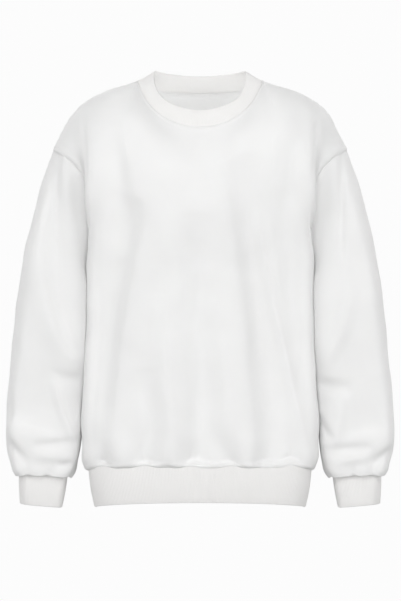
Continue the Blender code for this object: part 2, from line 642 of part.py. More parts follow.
def split_short(faces, points):
    """The quads, each turned so that its first and third corners, between which it is split
    into triangles, are the nearer pair."""
    across = np.linalg.norm(points[faces[:, 0]] - points[faces[:, 2]], axis=1)
    other = np.linalg.norm(points[faces[:, 1]] - points[faces[:, 3]], axis=1)
    return np.where((across > other)[:, None], np.roll(faces, -1, axis=1), faces)


def rim(start, end, shift, rank):
    """Triangles that join the outer border, run from start to end, to the inner one, shift
    further on. Each pair is split from the outer point of higher rank, so that the rims of two
    pieces at a seam are split alike."""
    far, near = end + shift, start + shift
    higher = (rank[start] > rank[end])[:, None]
    one = np.where(higher, np.stack([start, end, far], 1), np.stack([start, end, near], 1))
    two = np.where(higher, np.stack([start, far, near], 1), np.stack([end, far, near], 1))
    return np.concatenate([one, two])


def wall_mesh(piece, outer):
    """The closed wall of a piece: outer grid, inner grid, and strips that join their borders."""
    inner = outer - piece.normal * piece.wall
    rows, columns = outer.shape[:2]
    shift = rows * columns
    points = np.concatenate([outer.reshape(-1, 3), inner.reshape(-1, 3)])
    rank = piece.grid.reshape(-1, 3) @ RANK_DIRECTION
    index = np.arange(shift).reshape(rows, columns)
    right = np.roll(index, -1, axis=1) if piece.closed else index[:, 1:]
    left = index if piece.closed else index[:, :-1]
    faces = [
        quads(left[:-1], right[:-1], right[1:], left[1:]),
        quads(left[:-1], left[1:], right[1:], right[:-1]) + shift,
    ]
    rims = [rim(right[0], left[0], shift, rank)]
    if piece.folded_end:
        outward = outer[-1] - outer[-2]
        outward /= np.linalg.norm(outward, axis=1, keepdims=True)
        ridge = (outer[-1] + inner[-1]) / 2 + outward * piece.wall * FOLD_ROUND
        line = np.arange(columns) + len(points)
        following = np.roll(line, -1)
        points = np.concatenate([points, ridge])
        faces.append(quads(left[-1], right[-1], following, line))
        faces.append(quads(line, following, right[-1] + shift, left[-1] + shift))
    else:
        rims.append(rim(left[-1], right[-1], shift, rank))
    if not piece.closed:
        rims.append(rim(index[:-1, 0], index[1:, 0], shift, rank))
        rims.append(rim(index[1:, -1], index[:-1, -1], shift, rank))
    faces = split_short(np.concatenate(faces), points)
    if piece.sense < 0:
        faces = faces[:, [0, 3, 2, 1]]
    faces = faces.tolist() + np.concatenate(rims)[:, :: piece.sense].tolist()
    mesh = bpy.data.meshes.new(piece.name)
    mesh.from_pydata(points.tolist(), [], faces)
    mesh.update()
    return mesh


# ---------------------------------------------------------------- the garment
def material(name, colour, roughness):
    made = bpy.data.materials.new(name)
    made.use_nodes = True
    shader = made.node_tree.nodes["Principled BSDF"]
    shader.inputs["Base Color"].default_value = colour
    shader.inputs["Roughness"].default_value = roughness
    shader.inputs["Metallic"].default_value = 0.0
    made.diffuse_color = colour
    return made


def body_pieces(fleece):
    """The front and back panels and the neck seam that the neckband shares with them."""
    front_neck, back_neck = ring_of(FRONT_NECK, BACK_NECK, 2 * NECK_HALF, 2 * NECK_HALF)
    front_armhole, back_armhole = (half[::-1] for half in armhole())
    front_lines = panel_lines(-1, FRONT_YOKE, front_neck, front_armhole)
    back_lines = panel_lines(1, BACK_YOKE, back_neck, back_armhole)
    front = panel(front_lines, back_lines, front_armhole, FRONT_GATHERS)
    back = panel(back_lines, front_lines, back_armhole, BACK_GATHERS)
    pieces = []
    for name, sense, (grid, rows), folds, gathers in (
        ("front", 1, front, FRONT_FOLDS, FRONT_GATHERS),
        ("back", -1, back, BACK_FOLDS, BACK_GATHERS),
    ):
        normal = normals_of(grid, closed=False, sense=sense)
        inner = np.zeros(grid.shape[:2])
        inner[1:-1, 1:-1] = 1.0
        fade = smooth(edge_distance(grid) / FOLD_SEAM_FADE)
        fade *= smooth(FACING_SHARPNESS * abs(normal[:, :, 1]) - BODY_FACING)
        depth = (fold_depth(grid, folds) * fade + body_gathers(grid, rows, gathers)) * inner
        grid = grid - normal * depth[:, :, None]
        normal = normals_of(grid, closed=False, sense=sense)
        pieces.append(Piece(name, grid, normal, sense, False, FLEECE, False, fleece))
    return pieces, front_neck, back_neck


def sleeve_pieces(fleece, rib):
    """Both sleeves and their cuffs. The -X side is the mirror of the +X side."""
    pieces = []
    for side, sign in (("right", 1), ("left", -1)):
        grid, rows = sleeve_grid()
        normal = normals_of(grid, closed=True, sense=1)
        placed = grid * (sign, 1, 1)
        facing_front = smooth(-normal[:, :, 1] * FACING_SHARPNESS)
        facing_back = smooth(normal[:, :, 1] * FACING_SHARPNESS)
        depth = fold_depth(placed, SLEEVE_FOLDS[side]) * facing_front
        depth += fold_depth(grid, SLEEVE_BACK_FOLDS) * facing_back
        depth += cuff_gathers(grid.shape, rows)
        depth[[0, -1]] = 0.0
        grid = (grid - normal * depth[:, :, None]) * (sign, 1, 1)
        normal = normals_of(grid, closed=True, sense=sign)
        pieces.append(Piece(f"sleeve_{side}", grid, normal, sign, True, FLEECE, False, fleece))
        end = ring_points(CUFF_END, UPPER_ROWS) * (sign, 1, 1)
        cuff = band_grid(grid[-1], end, CUFF_BULGE, sign)
        normal = normals_of(cuff, closed=True, sense=sign)
        pieces.append(Piece(f"cuff_{side}", cuff, normal, sign, True, RIB, True, rib))
    return pieces


def hem_piece(front, back, rib):
    """The hem band: a ring below the front and back panels' lowest rows."""
    seam = np.concatenate([front.grid[0], back.grid[0][::-1][1:-1]])
    end = seam * (*HEM_BAND_TAPER, 1.0)
    front_lift = np.where(seam[:, 1] < 0, BODY[0].lift, 0.0)
    centre_share = np.sqrt(np.clip(1 - (seam[:, 0] / BODY[0].wide) ** 2, 0.0, 1.0))
    end[:, 2] = BODY[0].level - HEM_BAND_DROP + front_lift * centre_share
    grid = band_grid(seam, end, HEM_BAND_BULGE, -1)
    normal = normals_of(grid, closed=True, sense=-1)
    return Piece("hem_band", grid, normal, -1, True, RIB, True, rib)


def neck_piece(front_neck, back_neck, rib):
    """The neckband: a ring that rises from the neck seam and leans in."""
    turn = NECKBAND_TOP_SIDE
    top = ring_of(NECKBAND_TOP[: turn + 1], NECKBAND_TOP[turn:], 2 * NECK_HALF, 2 * NECK_HALF)
    seam = np.concatenate([front_neck, back_neck[::-1][1:-1]])
    end = np.concatenate([top[0], top[1][::-1][1:-1]])
    grid = band_grid(seam, end, NECKBAND_BULGE, 1)
    normal = normals_of(grid, closed=True, sense=1)
    return Piece("neckband", grid, normal, 1, True, RIB, True, rib)


def build():
    for old in list(bpy.data.objects):
        bpy.data.objects.remove(old, do_unlink=True)
    garment = bpy.data.collections.new("crewneck_sweatshirt")
    bpy.context.scene.collection.children.link(garment)
    fleece = material("brushed_fleece", FLEECE_COLOUR, FLEECE_ROUGHNESS)
    rib = material("rib_knit", RIB_COLOUR, RIB_ROUGHNESS)
    pieces, front_neck, back_neck = body_pieces(fleece)
    pieces.append(hem_piece(*pieces[:2], rib))
    pieces.append(neck_piece(front_neck, back_neck, rib))
    pieces += sleeve_pieces(fleece, rib)
    outers = sewn(pieces)
    for piece in pieces:
        mesh = wall_mesh(piece, outers[piece.name])
        mesh.shade_smooth()
        mesh.set_sharp_from_angle(angle=SHARP_ANGLE)
        mesh.materials.append(piece.material)
        garment.objects.link(bpy.data.objects.new(piece.name, mesh))


build()
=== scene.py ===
import math

import bpy
import numpy as np
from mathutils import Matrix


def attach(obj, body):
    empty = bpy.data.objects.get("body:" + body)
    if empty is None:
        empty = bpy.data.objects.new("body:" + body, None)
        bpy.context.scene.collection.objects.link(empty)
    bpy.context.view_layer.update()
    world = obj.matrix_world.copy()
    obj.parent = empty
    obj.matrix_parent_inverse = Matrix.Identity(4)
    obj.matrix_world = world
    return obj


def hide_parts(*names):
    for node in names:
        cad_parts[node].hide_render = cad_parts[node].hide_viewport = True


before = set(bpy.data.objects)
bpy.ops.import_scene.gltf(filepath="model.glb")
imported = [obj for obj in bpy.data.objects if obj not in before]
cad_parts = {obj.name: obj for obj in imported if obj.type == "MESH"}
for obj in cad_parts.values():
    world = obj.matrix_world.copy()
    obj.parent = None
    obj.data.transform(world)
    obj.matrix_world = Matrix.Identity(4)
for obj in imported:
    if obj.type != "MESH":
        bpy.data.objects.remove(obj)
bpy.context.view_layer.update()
print("frame loaded:", len(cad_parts), "nodes")

# Metres, +Z up, the wearer faces -Y. Every surface is a grid of points worked out from sections
# and seam lines of the +X side, mirrored for the other side. Rows run along the cloth from its
# lower or sewn edge, columns across it or round it.
cloth = {
    "fleeceWall": 0.0024,
    "ribWall": 0.003,
    "seamGap": 0.0001,  # between two pieces at their seam
    "cell": 0.0036,  # usual distance of grid points
    "seamCell": 0.0008,  # distance of grid points beside a seam
    "seamCellReach": 0.009,  # how far from the seam the fine cells go
    "spacingPoints": 4001,  # points on a line whose cells are being spaced out
    "stretchPoints": 81,  # points on a stretch of a dense line
    "sectionPoints": 1600,  # points on half a body section, before it is cut into columns
    "ringPoints": 1200,  # points on half a sleeve ring
    "foldPoints": 61,  # points on the bent line of a fold
    "foldEnds": 0.8,  # power of the sine by which a fold fades to its ends
    "meetScale": 1e5,  # points whose places agree to one part of this in a metre meet
}


# 0 below 0, 1 above 1, and an eased ramp between: 3 * value squared - 2 * value cubed
def smooth(value):
    value = np.clip(value, 0.0, 1.0)
    return value * value * (3 - 2 * value)


# bell of height 1: exp(-value squared)
def bell(value):
    return np.exp(-(value**2))


# vectors along the last axis, made one metre long
def unit(vectors):
    return vectors / np.maximum(np.linalg.norm(vectors, axis=-1, keepdims=True), 1e-12)


# what is left of vectors when their share along a unit direction is taken off
def squareTo(vectors, direction):
    return vectors - (vectors * direction).sum(axis=-1, keepdims=True) * direction


# natural cubic spline through values, one row for each knot, read at the given places
def spline(knots, values, at):
    knots = np.asarray(knots, float)
    values = np.asarray(values, float)
    at = np.asarray(at, float)
    shape = values.shape[1:]
    values = values.reshape(len(knots), -1)
    step = np.diff(knots)
    slope = np.diff(values, axis=0) / step[:, None]
    system = np.eye(len(knots))
    inside = np.arange(1, len(knots) - 1)
    system[inside, inside - 1] = step[:-1]
    system[inside, inside] = 2 * (step[:-1] + step[1:])
    system[inside, inside + 1] = step[1:]
    wanted = np.zeros_like(values)
    wanted[1:-1] = 6 * np.diff(slope, axis=0)
    bend = np.linalg.solve(system, wanted)
    i = np.clip(np.searchsorted(knots, at) - 1, 0, len(step) - 1)
    after = (at - knots[i])[:, None]
    before = (knots[i + 1] - at)[:, None]
    wide = step[i][:, None]
    found = (bend[i] * before**3 + bend[i + 1] * after**3) / (6 * wide)
    found += (values[i] / wide - bend[i] * wide / 6) * before
    found += (values[i + 1] / wide - bend[i + 1] * wide / 6) * after
    return found.reshape((len(at), *shape))


# distance along the straight lines between points, at each point
def chordKnots(points):
    steps = np.linalg.norm(np.diff(points, axis=0), axis=1)
    return np.concatenate([[0.0], np.cumsum(steps)])


# points at the given shares of a dense line's length
def lineAt(points, shares):
    along = chordKnots(points)
    at = np.asarray(shares) * along[-1]
    return np.stack([np.interp(at, along, points[:, k]) for k in range(3)], axis=1)


# smooth line through the points, one dense array for each stretch between two of them
def denseLine(points, closed):
    points = np.asarray(points, float)
    extra = 3 if closed else 0  # points repeated before and after, so that the join is smooth
    if closed:
        points = np.concatenate([points[-extra:], points, points[: extra + 1]])
    knots = chordKnots(points)
    stretches = []
    for i in range(extra, len(points) - 1 - extra):
        at = np.linspace(knots[i], knots[i + 1], cloth["stretchPoints"])
        stretches.append(spline(knots, points, at))
    return stretches


def joined(stretches):
    return np.concatenate([stretches[0], *[s[1:] for s in stretches[1:]]])


def mirrored(points):
    return np.asarray(points, float) * (-1, 1, 1)


# a line from the centre to the +X side with its mirror image before it, and the same for places
def bothSides(half):
    return np.concatenate([mirrored(half[1:])[::-1], half])


def bothWays(places):
    return np.concatenate([-places[:0:-1], places])


# one ring from two lines that run between the same two ends
def ringOf(first, second):
    return np.concatenate([first, second[-2:0:-1]])


# shares from 0 to 1 that lie a cell apart, and a seamCell apart beside an end that is a seam:
# the running sum of 1 / spacing, cut into equal steps
def crowded(length, atStart, atEnd, cell=cloth["cell"]):
    place = np.linspace(0.0, length, cloth["spacingPoints"])
    reach = cloth["seamCellReach"]
    near = atStart * np.exp(-((place / reach) ** 4))
    near += atEnd * np.exp(-(((length - place) / reach) ** 4))
    spacing = cell + (cloth["seamCell"] - cell) * np.clip(near, 0.0, 1.0)
    total = np.concatenate([[0.0], np.cumsum(1 / spacing[:-1])]) * place[1]
    count = max(2, round(total[-1]))
    shares = np.interp(np.linspace(0.0, total[-1], count + 1), total, place) / length
    shares[[0, -1]] = 0.0, 1.0
    return shares


# unit normals of a grid from the differences to its neighbours, turned by sense
def normalsOf(grid, closed, sense):
    if closed:
        across = np.roll(grid, -1, axis=1) - np.roll(grid, 1, axis=1)
    else:
        across = np.gradient(grid, axis=1)
    return unit(np.cross(across, np.gradient(grid, axis=0)) * sense)


# A piece of cloth: sense is 1 where its columns and rows run so that their cross product points
# outwards, and -1 where it points inwards. A closed piece's last column joins its first.
def clothPiece(name, grid, sense, closed, wall):
    return {"name": name, "grid": grid, "normal": normalsOf(grid, closed, sense), "sense": sense,
            "closed": closed, "wall": wall}


# how far along each line of a grid its points lie from the line's start
def distanceAlong(grid, axis):
    steps = np.linalg.norm(np.diff(grid, axis=axis), axis=2)
    total = np.cumsum(steps, axis=axis)
    return np.insert(total, 0, 0.0, axis=axis)


# smooth random wander between -1 and 1 along a line, one new value each pitch
def wander(at, pitch, seed):
    count = int(np.max(at) / pitch) + 4
    values = np.random.default_rng(seed).uniform(-1.0, 1.0, count)
    place = np.asarray(at) / pitch
    i = np.clip(np.floor(place).astype(int), 0, count - 2)
    share = smooth(place - i)
    return values[i] * (1 - share) + values[i + 1] * share


# soft unevenness of worn cloth: the mean of sine waves in random directions through space
def unevenness(points, seed, shortest=0.045, longest=0.13, waves=28):
    chance = np.random.default_rng(seed)
    way = chance.normal(size=(3, waves))
    way /= np.linalg.norm(way, axis=0)
    turns = 2 * np.pi / chance.uniform(shortest, longest, waves)
    start = chance.uniform(0.0, 2 * np.pi, waves)
    return np.sin(points @ (way * turns) + start).sum(axis=-1) / math.sqrt(waves)


# A fold sinks in (or, with a depth below zero, stands out) by a bell across a bent line in x and
# z, and fades towards both ends. Its two flanks differ in width.
# fold: start, middle, end, half width right of its way, half width left of it, depth
def foldDepth(points, folds):
    flat = points[..., [0, 2]]
    depth = np.zeros(points.shape[:-1])
    steps = np.linspace(0.0, 1.0, cloth["foldPoints"])
    for start, middle, end, right, left, deep in folds:
        start, middle, end = np.array(start), np.array(middle), np.array(end)
        bend = 2 * middle - (start + end) / 2
        line = np.outer((1 - steps) ** 2, start)
        line += np.outer(2 * steps * (1 - steps), bend) + np.outer(steps**2, end)
        nearest = np.linalg.norm(flat[..., None, :] - line, axis=-1).argmin(axis=-1)
        off = flat - line[nearest]
        way = np.gradient(line, axis=0)[nearest]
        stride = np.linalg.norm(way, axis=-1)
        side = (off[..., 1] * way[..., 0] - off[..., 0] * way[..., 1]) / stride
        place = (nearest + (off * way).sum(axis=-1) / stride**2) / (len(steps) - 1)
        width = right + (left - right) * smooth(0.5 + side / (right + left))
        fade = np.sin(np.pi * np.clip(place, 0.001, 0.999)) ** cloth["foldEnds"]
        depth += deep * fade * bell(side / width)
    return depth


body = {
    "neckColumns": 6.0,  # from the centre to the shoulder point
    "halfColumns": 14.0,  # from the centre to the side seam
    "neckHalfLength": 0.145,  # neck seam of a panel, from its centre, as its columns are spaced
    "shoulderLength": 0.186,  # and from the shoulder point to the armhole
    "sideLength": 0.347,  # side seam, from the hem seam to the underarm
    "yokeLength": 0.215,  # centre front, from the armpit's level to the neck seam
    "roundPower": 2.15,  # superellipse power of a round section
    "frontPowers": (16.0, 8.0),  # and of a squarer one, across and in depth
    "backPowers": (6.0, 3.4),
    "bow": 0.026,  # how far a squarer section bows towards its sides
    "foldStart": 0.76,  # where round the quarter section the edge fold begins to turn in
    "foldReach": 1.043,  # the superellipse's half width over that of the edge fold
    "sideSeamY": 0.005,
    "edgeReach": 3.0,  # columns beside an edge that are drawn to its seam
    "neckBlend": 4.0,  # columns over which the shoulder's shape comes in
    # up, level, lift, half width at the edge fold, half width at the side seam, front, back, boxy
    "sections": (
        (0.0, -0.642, 0.0095, 0.179, 0.179, 0.129, 0.124, 0.6),
        (0.012, -0.631, 0.009, 0.1855, 0.185, 0.1315, 0.13, 0.65),
        (0.04, -0.603, 0.008, 0.188, 0.185, 0.1345, 0.136, 0.8),
        (0.075, -0.568, 0.006, 0.1885, 0.1815, 0.135, 0.137, 0.9),
        (0.13, -0.512, 0.004, 0.1842, 0.175, 0.134, 0.135, 1.0),
        (0.21, -0.432, 0.002, 0.18, 0.171, 0.132, 0.129, 1.0),
        (0.285, -0.357, 0.0, 0.1782, 0.1695, 0.131, 0.124, 1.0),
        (0.347, -0.298, 0.0, 0.1782, 0.1685, 0.132, 0.123, 1.0),
    ),
    # yoke guides: column, and the points a third and two thirds of the way up
    "frontYoke": (
        (0, (0.0, -0.135, -0.218), (0.0, -0.123, -0.142)),
        (3, (0.059, -0.1335, -0.206), (0.068, -0.1112, -0.105)),
        (6, (0.115, -0.125, -0.18), (0.122, -0.0978, -0.073)),
        (9, (0.162, -0.113, -0.188), (0.159, -0.092, -0.08)),
        (11, (0.183, -0.101, -0.206), (0.188, -0.086, -0.106)),
        (12.5, (0.184, -0.082, -0.224), (0.196, -0.076, -0.132)),
    ),
    "backYoke": (
        (0, (0.0, 0.127, -0.211), (0.0, 0.112, -0.107)),
        (3, (0.06, 0.1255, -0.21), (0.058, 0.109, -0.106)),
        (6, (0.117, 0.118, -0.207), (0.112, 0.096, -0.102)),
        (9, (0.16, 0.101, -0.209), (0.161, 0.085, -0.111)),
        (11, (0.178, 0.085, -0.217), (0.185, 0.078, -0.129)),
        (12.5, (0.18, 0.074, -0.227), (0.197, 0.072, -0.142)),
    ),
    "frontNeck": (
        (0.0, -0.092, -0.0803), (0.0386, -0.086, -0.0731), (0.0714, -0.068, -0.0532),
        (0.0938, -0.04, -0.024), (0.1025, -0.004, 0.0),
    ),
    "backNeck": (
        (0.1025, -0.004, 0.0), (0.087, 0.033, -0.008), (0.05, 0.056, -0.0135),
        (0.0, 0.063, -0.0153),
    ),
    "shoulderSeam": (
        (0.1025, -0.004, 0.0), (0.134, -0.002, -0.0116), (0.1815, 0.0, -0.0314),
        (0.204, 0.0015, -0.0479), (0.217, 0.002, -0.0644), (0.2262, 0.002, -0.0809),
        (0.2386, 0.002, -0.1073), (0.2415, 0.002, -0.1164),
    ),
    "frontArmhole": (
        (0.2415, 0.002, -0.1164), (0.2375, -0.031, -0.118), (0.228, -0.053, -0.1235),
        (0.212, -0.066, -0.1345), (0.1965, -0.071, -0.152), (0.1865, -0.069, -0.168),
        (0.1775, -0.064, -0.205), (0.171, -0.052, -0.252), (0.169, -0.03, -0.286),
        (0.169, 0.005, -0.298),
    ),
    "backArmhole": (
        (0.169, 0.005, -0.298), (0.1735, 0.034, -0.286), (0.178, 0.059, -0.253),
        (0.1825, 0.071, -0.208), (0.1925, 0.069, -0.169), (0.214, 0.052, -0.136),
        (0.229, 0.031, -0.123), (0.2415, 0.002, -0.1164),
    ),
    "uneven": 0.0009,  # soft unevenness of the cloth
    "foldSeamFade": 0.01,  # the folds die away over this distance from the seams
    "foldFacing": 0.35,  # and from where the cloth's normal has this share of front or back in it
    "foldFacingReach": 0.5,  # they come in over so much more of it
}

# Ring through both half lines of the neck, as a dense front and a dense back line, each from the
# -X to the +X shoulder point.
def ringHalves(frontHalf, backHalf):
    frontHalf = np.asarray(frontHalf, float)
    backHalf = np.asarray(backHalf, float)
    points = np.concatenate([
        mirrored(frontHalf[1:])[::-1], frontHalf, backHalf[1:], mirrored(backHalf[1:-1])[::-1]
    ])
    lines = denseLine(points, closed=True)
    turn = 2 * (len(frontHalf) - 1)
    return joined(lines[:turn]), joined(lines[turn:])[::-1]


# the +X armhole as a dense front and a dense back line, each from the underarm to its tip
def armholeHalves():
    points = np.array([*body["frontArmhole"], *body["backArmhole"][1:-1]])
    lines = denseLine(points, closed=True)
    turn = len(body["frontArmhole"]) - 1
    return joined(lines[:turn])[::-1], joined(lines[turn:])


frontNeckLine, backNeckLine = ringHalves(body["frontNeck"], body["backNeck"])
frontArmholeLine, backArmholeLine = armholeHalves()
shoulderLine = joined(denseLine(body["shoulderSeam"], closed=False))

# the body's columns and rows: finer beside the neck, the armholes and the hem
neckShares = crowded(body["neckHalfLength"], 0, 0)
shoulderShares = crowded(body["shoulderLength"], 0, 1)
halfPlaces = np.concatenate([
    body["neckColumns"] * neckShares,
    body["neckColumns"] + (body["halfColumns"] - body["neckColumns"]) * shoulderShares[1:],
])
columnPlaces = bothWays(halfPlaces)
upperShares = crowded(body["yokeLength"], 0, 1)
lowerUp = body["sideLength"] * crowded(body["sideLength"], 1, 0)
bodyRows = np.concatenate([lowerUp, body["sideLength"] + body["yokeLength"] * upperShares[1:]])


# Half a body section: x = reach * sin(turn) ** e less the turned-in edge, y = depth * cos(turn)
# ** f with a bow, and z = level + lift * cos(turn), read at shares of its length.
def sectionHalf(section, facing):
    level, lift, fold, side, frontY, backY, boxy = section[1:]
    boxyPowers = body["frontPowers"] if facing < 0 else body["backPowers"]
    widthPower, depthPower = [body["roundPower"] * (1 - boxy) + p * boxy for p in boxyPowers]
    turn = np.linspace(0.0, 1.0, cloth["sectionPoints"])
    wide = fold * (1 + (body["foldReach"] - 1) * boxy)
    turnedIn = smooth((turn - body["foldStart"]) / (1 - body["foldStart"]))
    across = np.sin(turn * np.pi / 2) ** (2 / widthPower)
    x = wide * across - (wide - side) * turnedIn
    depth = (frontY if facing < 0 else backY) * np.cos(turn * np.pi / 2) ** (2 / depthPower)
    depth -= body["bow"] * boxy * across**2 * (1 - turnedIn)
    y = facing * depth + body["sideSeamY"] * smooth(turn)
    z = level + lift * np.cos(turn * np.pi / 2) * (facing < 0)
    points = np.stack([x, y, z + 0 * x], axis=1)
    points[-1] = side, body["sideSeamY"], level
    return lineAt(points, halfPlaces / body["halfColumns"])


# the lines of points that a panel is splined through, from the hem seam up to the neck seam and
# the shoulder seams
def panelLines(facing, yoke, neckLine, armholeLine):
    lines = []
    for section in body["sections"]:
        lines.append(bothSides(sectionHalf(section, facing)))
    for share, entry in ((1 / 3, 1), (2 / 3, 2)):
        half = np.array([*[guide[entry] for guide in yoke], lineAt(armholeLine, [share])[0]])
        places = np.array([*[guide[0] for guide in yoke], body["halfColumns"]], float)
        lines.append(spline(bothWays(places), bothSides(half), columnPlaces))
    neck = lineAt(neckLine, bothWays(neckShares) / 2 + 0.5)
    shoulder = lineAt(shoulderLine, shoulderShares)
    lines.append(np.concatenate([mirrored(shoulder[1:])[::-1], neck, shoulder[1:]]))
    return np.array(lines)


# A panel's outer surface: each column is a spline up through the lines, run on over the
# shoulder into the other panel, and its edges are drawn to the side seam and the armhole.
def panelSurface(lines, otherLines, armholeLine):
    third = body["yokeLength"] / 3
    ups = [section[0] for section in body["sections"]]
    knots = [*ups, *[body["sideLength"] + third * k for k in (1, 2, 3)]]
    alone = spline(knots, lines, bodyRows)
    beyond = np.concatenate([lines, otherLines[-2:-4:-1]])
    carriedOn = spline([*knots, knots[-1] + third, knots[-1] + 2 * third], beyond, bodyRows)
    pastNeck = abs(columnPlaces) - (body["neckColumns"] - body["neckBlend"] / 2)
    grid = alone + (carriedOn - alone) * smooth(pastNeck / body["neckBlend"])[None, :, None]
    sideSeam = spline(ups, lines[: len(ups), -1], lowerUp)
    exact = np.concatenate([sideSeam, lineAt(armholeLine, upperShares)[1:]])
    for sign, edge in ((-1, 0), (1, -1)):
        miss = exact * (sign, 1, 1) - grid[:, edge]
        reach = smooth((sign * columnPlaces - body["halfColumns"]) / body["edgeReach"] + 1)
        grid += miss[:, None, :] * reach[None, :, None]
        grid[:, edge] = exact * (sign, 1, 1)
    grid[-1] = lines[-1]
    return grid


hemGathers = {
    "peak": 0.1,  # share of a gather's height at which it is deepest
    "spread": 0.8,  # how much wider a gather is at its top
    "crestPlace": 2.1,  # crests beside a gather, in widths from its middle
    "crestHeight": 0.35,
    "seamLift": 0.0035,  # how far a deep gather pulls the hem seam up
    "liftingDepth": 0.006,
    "liftingWidth": 1.2,
    "liftFade": 0.03,
    "sideShare": 0.2,  # the lift dies away over this share beside the side seams
    # x at the seam, half width, depth, height, lean of the top
    "front": (
        (-0.158, 0.011, 0.0065, 0.055, 0.004),
        (-0.089, 0.013, 0.0075, 0.08, -0.006),
        (-0.05, 0.009, 0.002, 0.04, 0.002),
        (-0.014, 0.012, 0.006, 0.06, -0.003),
        (0.051, 0.012, 0.007, 0.065, -0.004),
        (0.102, 0.01, 0.0025, 0.05, 0.003),
        (0.148, 0.012, 0.0085, 0.07, 0.008),
    ),
    "back": (
        (-0.15, 0.012, 0.0055, 0.06, 0.003),
        (-0.096, 0.011, 0.005, 0.055, -0.003),
        (-0.044, 0.013, 0.0065, 0.08, 0.004),
        (0.012, 0.011, 0.0045, 0.05, -0.002),
        (0.068, 0.012, 0.006, 0.07, 0.004),
        (0.128, 0.012, 0.006, 0.06, -0.005),
    ),
}


def gatherSwell(share):
    peak = hemGathers["peak"]
    return smooth(share / peak) * (1 - smooth((share - peak) / (1 - peak)))


# how far the hem seam and the rows above it are pulled up at the gathers: a bell at each
def hemLift(grid, gathers):
    at = grid[0, :, 0]
    pull = np.zeros(len(at))
    for place, width, deep in [gather[:3] for gather in gathers]:
        off = (at - place) / (hemGathers["liftingWidth"] * width)
        pull += deep / hemGathers["liftingDepth"] * bell(off)
    inside = smooth((1 - abs(columnPlaces) / body["halfColumns"]) / hemGathers["sideShare"])
    fade = np.exp(-bodyRows / hemGathers["liftFade"])
    return fade[:, None] * (hemGathers["seamLift"] * pull * inside)[None, :]


# how far each point sinks into the gathers: a bell across each, less a low crest on each side
def hemGatherDepth(grid, gathers):
    depth = np.zeros(grid.shape[:2])
    for place, width, deep, tall, lean in gathers:
        share = np.clip(bodyRows[:, None] / tall, 0.0, 1.0)
        wide = width * (1 + hemGathers["spread"] * share)
        off = abs(grid[:, :, 0] - place - lean * share) / wide
        dent = bell(off) - hemGathers["crestHeight"] * bell(off - hemGathers["crestPlace"])
        depth += deep * gatherSwell(share) * dent
    return depth


bodyFolds = {
    # start, middle, end (x, z), half widths right and left of its way, depth
    "front": (
        ((-0.103, -0.195), (-0.144, -0.37), (-0.172, -0.64), 0.04, 0.02, 0.017),
        ((-0.143, -0.05), (-0.131, -0.165), (-0.124, -0.29), 0.022, 0.018, 0.007),
        ((-0.086, -0.47), (-0.078, -0.56), (-0.062, -0.7), 0.018, 0.024, 0.006),
        ((-0.062, -0.35), (-0.054, -0.5), (-0.042, -0.69), 0.022, 0.018, -0.007),
        ((-0.002, -0.22), (0.003, -0.43), (0.006, -0.76), 0.028, 0.042, 0.015),
        ((-0.004, -0.46), (0.0, -0.56), (-0.002, -0.68), 0.016, 0.026, 0.0055),
        ((0.018, -0.26), (0.03, -0.44), (0.066, -0.68), 0.019, 0.019, -0.005),
        ((0.056, -0.13), (0.102, -0.4), (0.134, -0.82), 0.025, 0.04, 0.027),
        ((0.093, -0.215), (0.124, -0.378), (0.178, -0.615), 0.009, 0.008, -0.0055),
        ((0.134, -0.18), (0.154, -0.345), (0.186, -0.59), 0.02, 0.034, 0.013),
        ((0.152, -0.09), (0.148, -0.16), (0.138, -0.23), 0.018, 0.018, 0.004),
        ((-0.191, -0.06), (-0.19, -0.115), (-0.188, -0.175), 0.005, 0.005, 0.006),
        ((0.191, -0.06), (0.19, -0.115), (0.188, -0.175), 0.005, 0.005, 0.006),
    ),
    "back": (
        ((-0.09, -0.18), (-0.112, -0.34), (-0.145, -0.56), 0.03, 0.016, 0.01),
        ((0.098, -0.19), (0.114, -0.35), (0.15, -0.58), 0.017, 0.032, 0.009),
        ((-0.034, -0.26), (-0.038, -0.4), (-0.05, -0.6), 0.022, 0.018, 0.007),
        ((0.04, -0.3), (0.042, -0.42), (0.046, -0.61), 0.018, 0.022, 0.006),
        ((0.004, -0.29), (0.004, -0.43), (0.0, -0.6), 0.018, 0.018, -0.005),
    ),
}

seams = {
    "groove": 0.0003,  # how deep two pieces sink at their seam
    "grooveWidth": 0.0014,
    "allowance": 0.0075,  # the turned seam allowance under the cloth, as a raised strip
    "allowanceHeight": 0.0011,
    "allowanceRise": 0.0026,  # it rises from the seam and falls off past its width over these
    "allowanceFall": 0.003,
    "threadPlaces": (0.0022, 0.0066),  # two rows of topstitching, from the seam
    "threadDent": 0.0004,
    "threadDentWidth": 0.0007,
    "pucker": 0.0005,  # small waves that the stitching draws the cloth into
    "puckerPitch": 0.0075,
    "puckerReach": 0.016,
    "stitchedStart": 0.01,  # the armhole's topstitching begins over this length of its edge
}


# Relief of a panel beside a plain seam, outwards, by the distance from the seam: a groove at the
# seam, and small waves along it.
def plainRelief(distance, along, seed):
    waves = wander(along, seams["puckerPitch"], seed)
    relief = seams["pucker"] * waves * bell(distance / seams["puckerReach"])
    return relief - seams["groove"] * bell(distance / seams["grooveWidth"])


# beside a topstitched seam: also a raised strip with a dent under each row of thread
def stitchedRelief(distance, along, seed):
    raised = smooth(distance / seams["allowanceRise"])
    raised *= 1 - smooth((distance - seams["allowance"]) / seams["allowanceFall"])
    relief = plainRelief(distance, along, seed) + seams["allowanceHeight"] * raised
    for place in seams["threadPlaces"]:
        relief -= seams["threadDent"] * bell((distance - place) / seams["threadDentWidth"])
    return relief


isNeckColumn = abs(columnPlaces) <= body["neckColumns"]
yokeShare = smooth((bodyRows - body["sideLength"]) / seams["stitchedStart"])


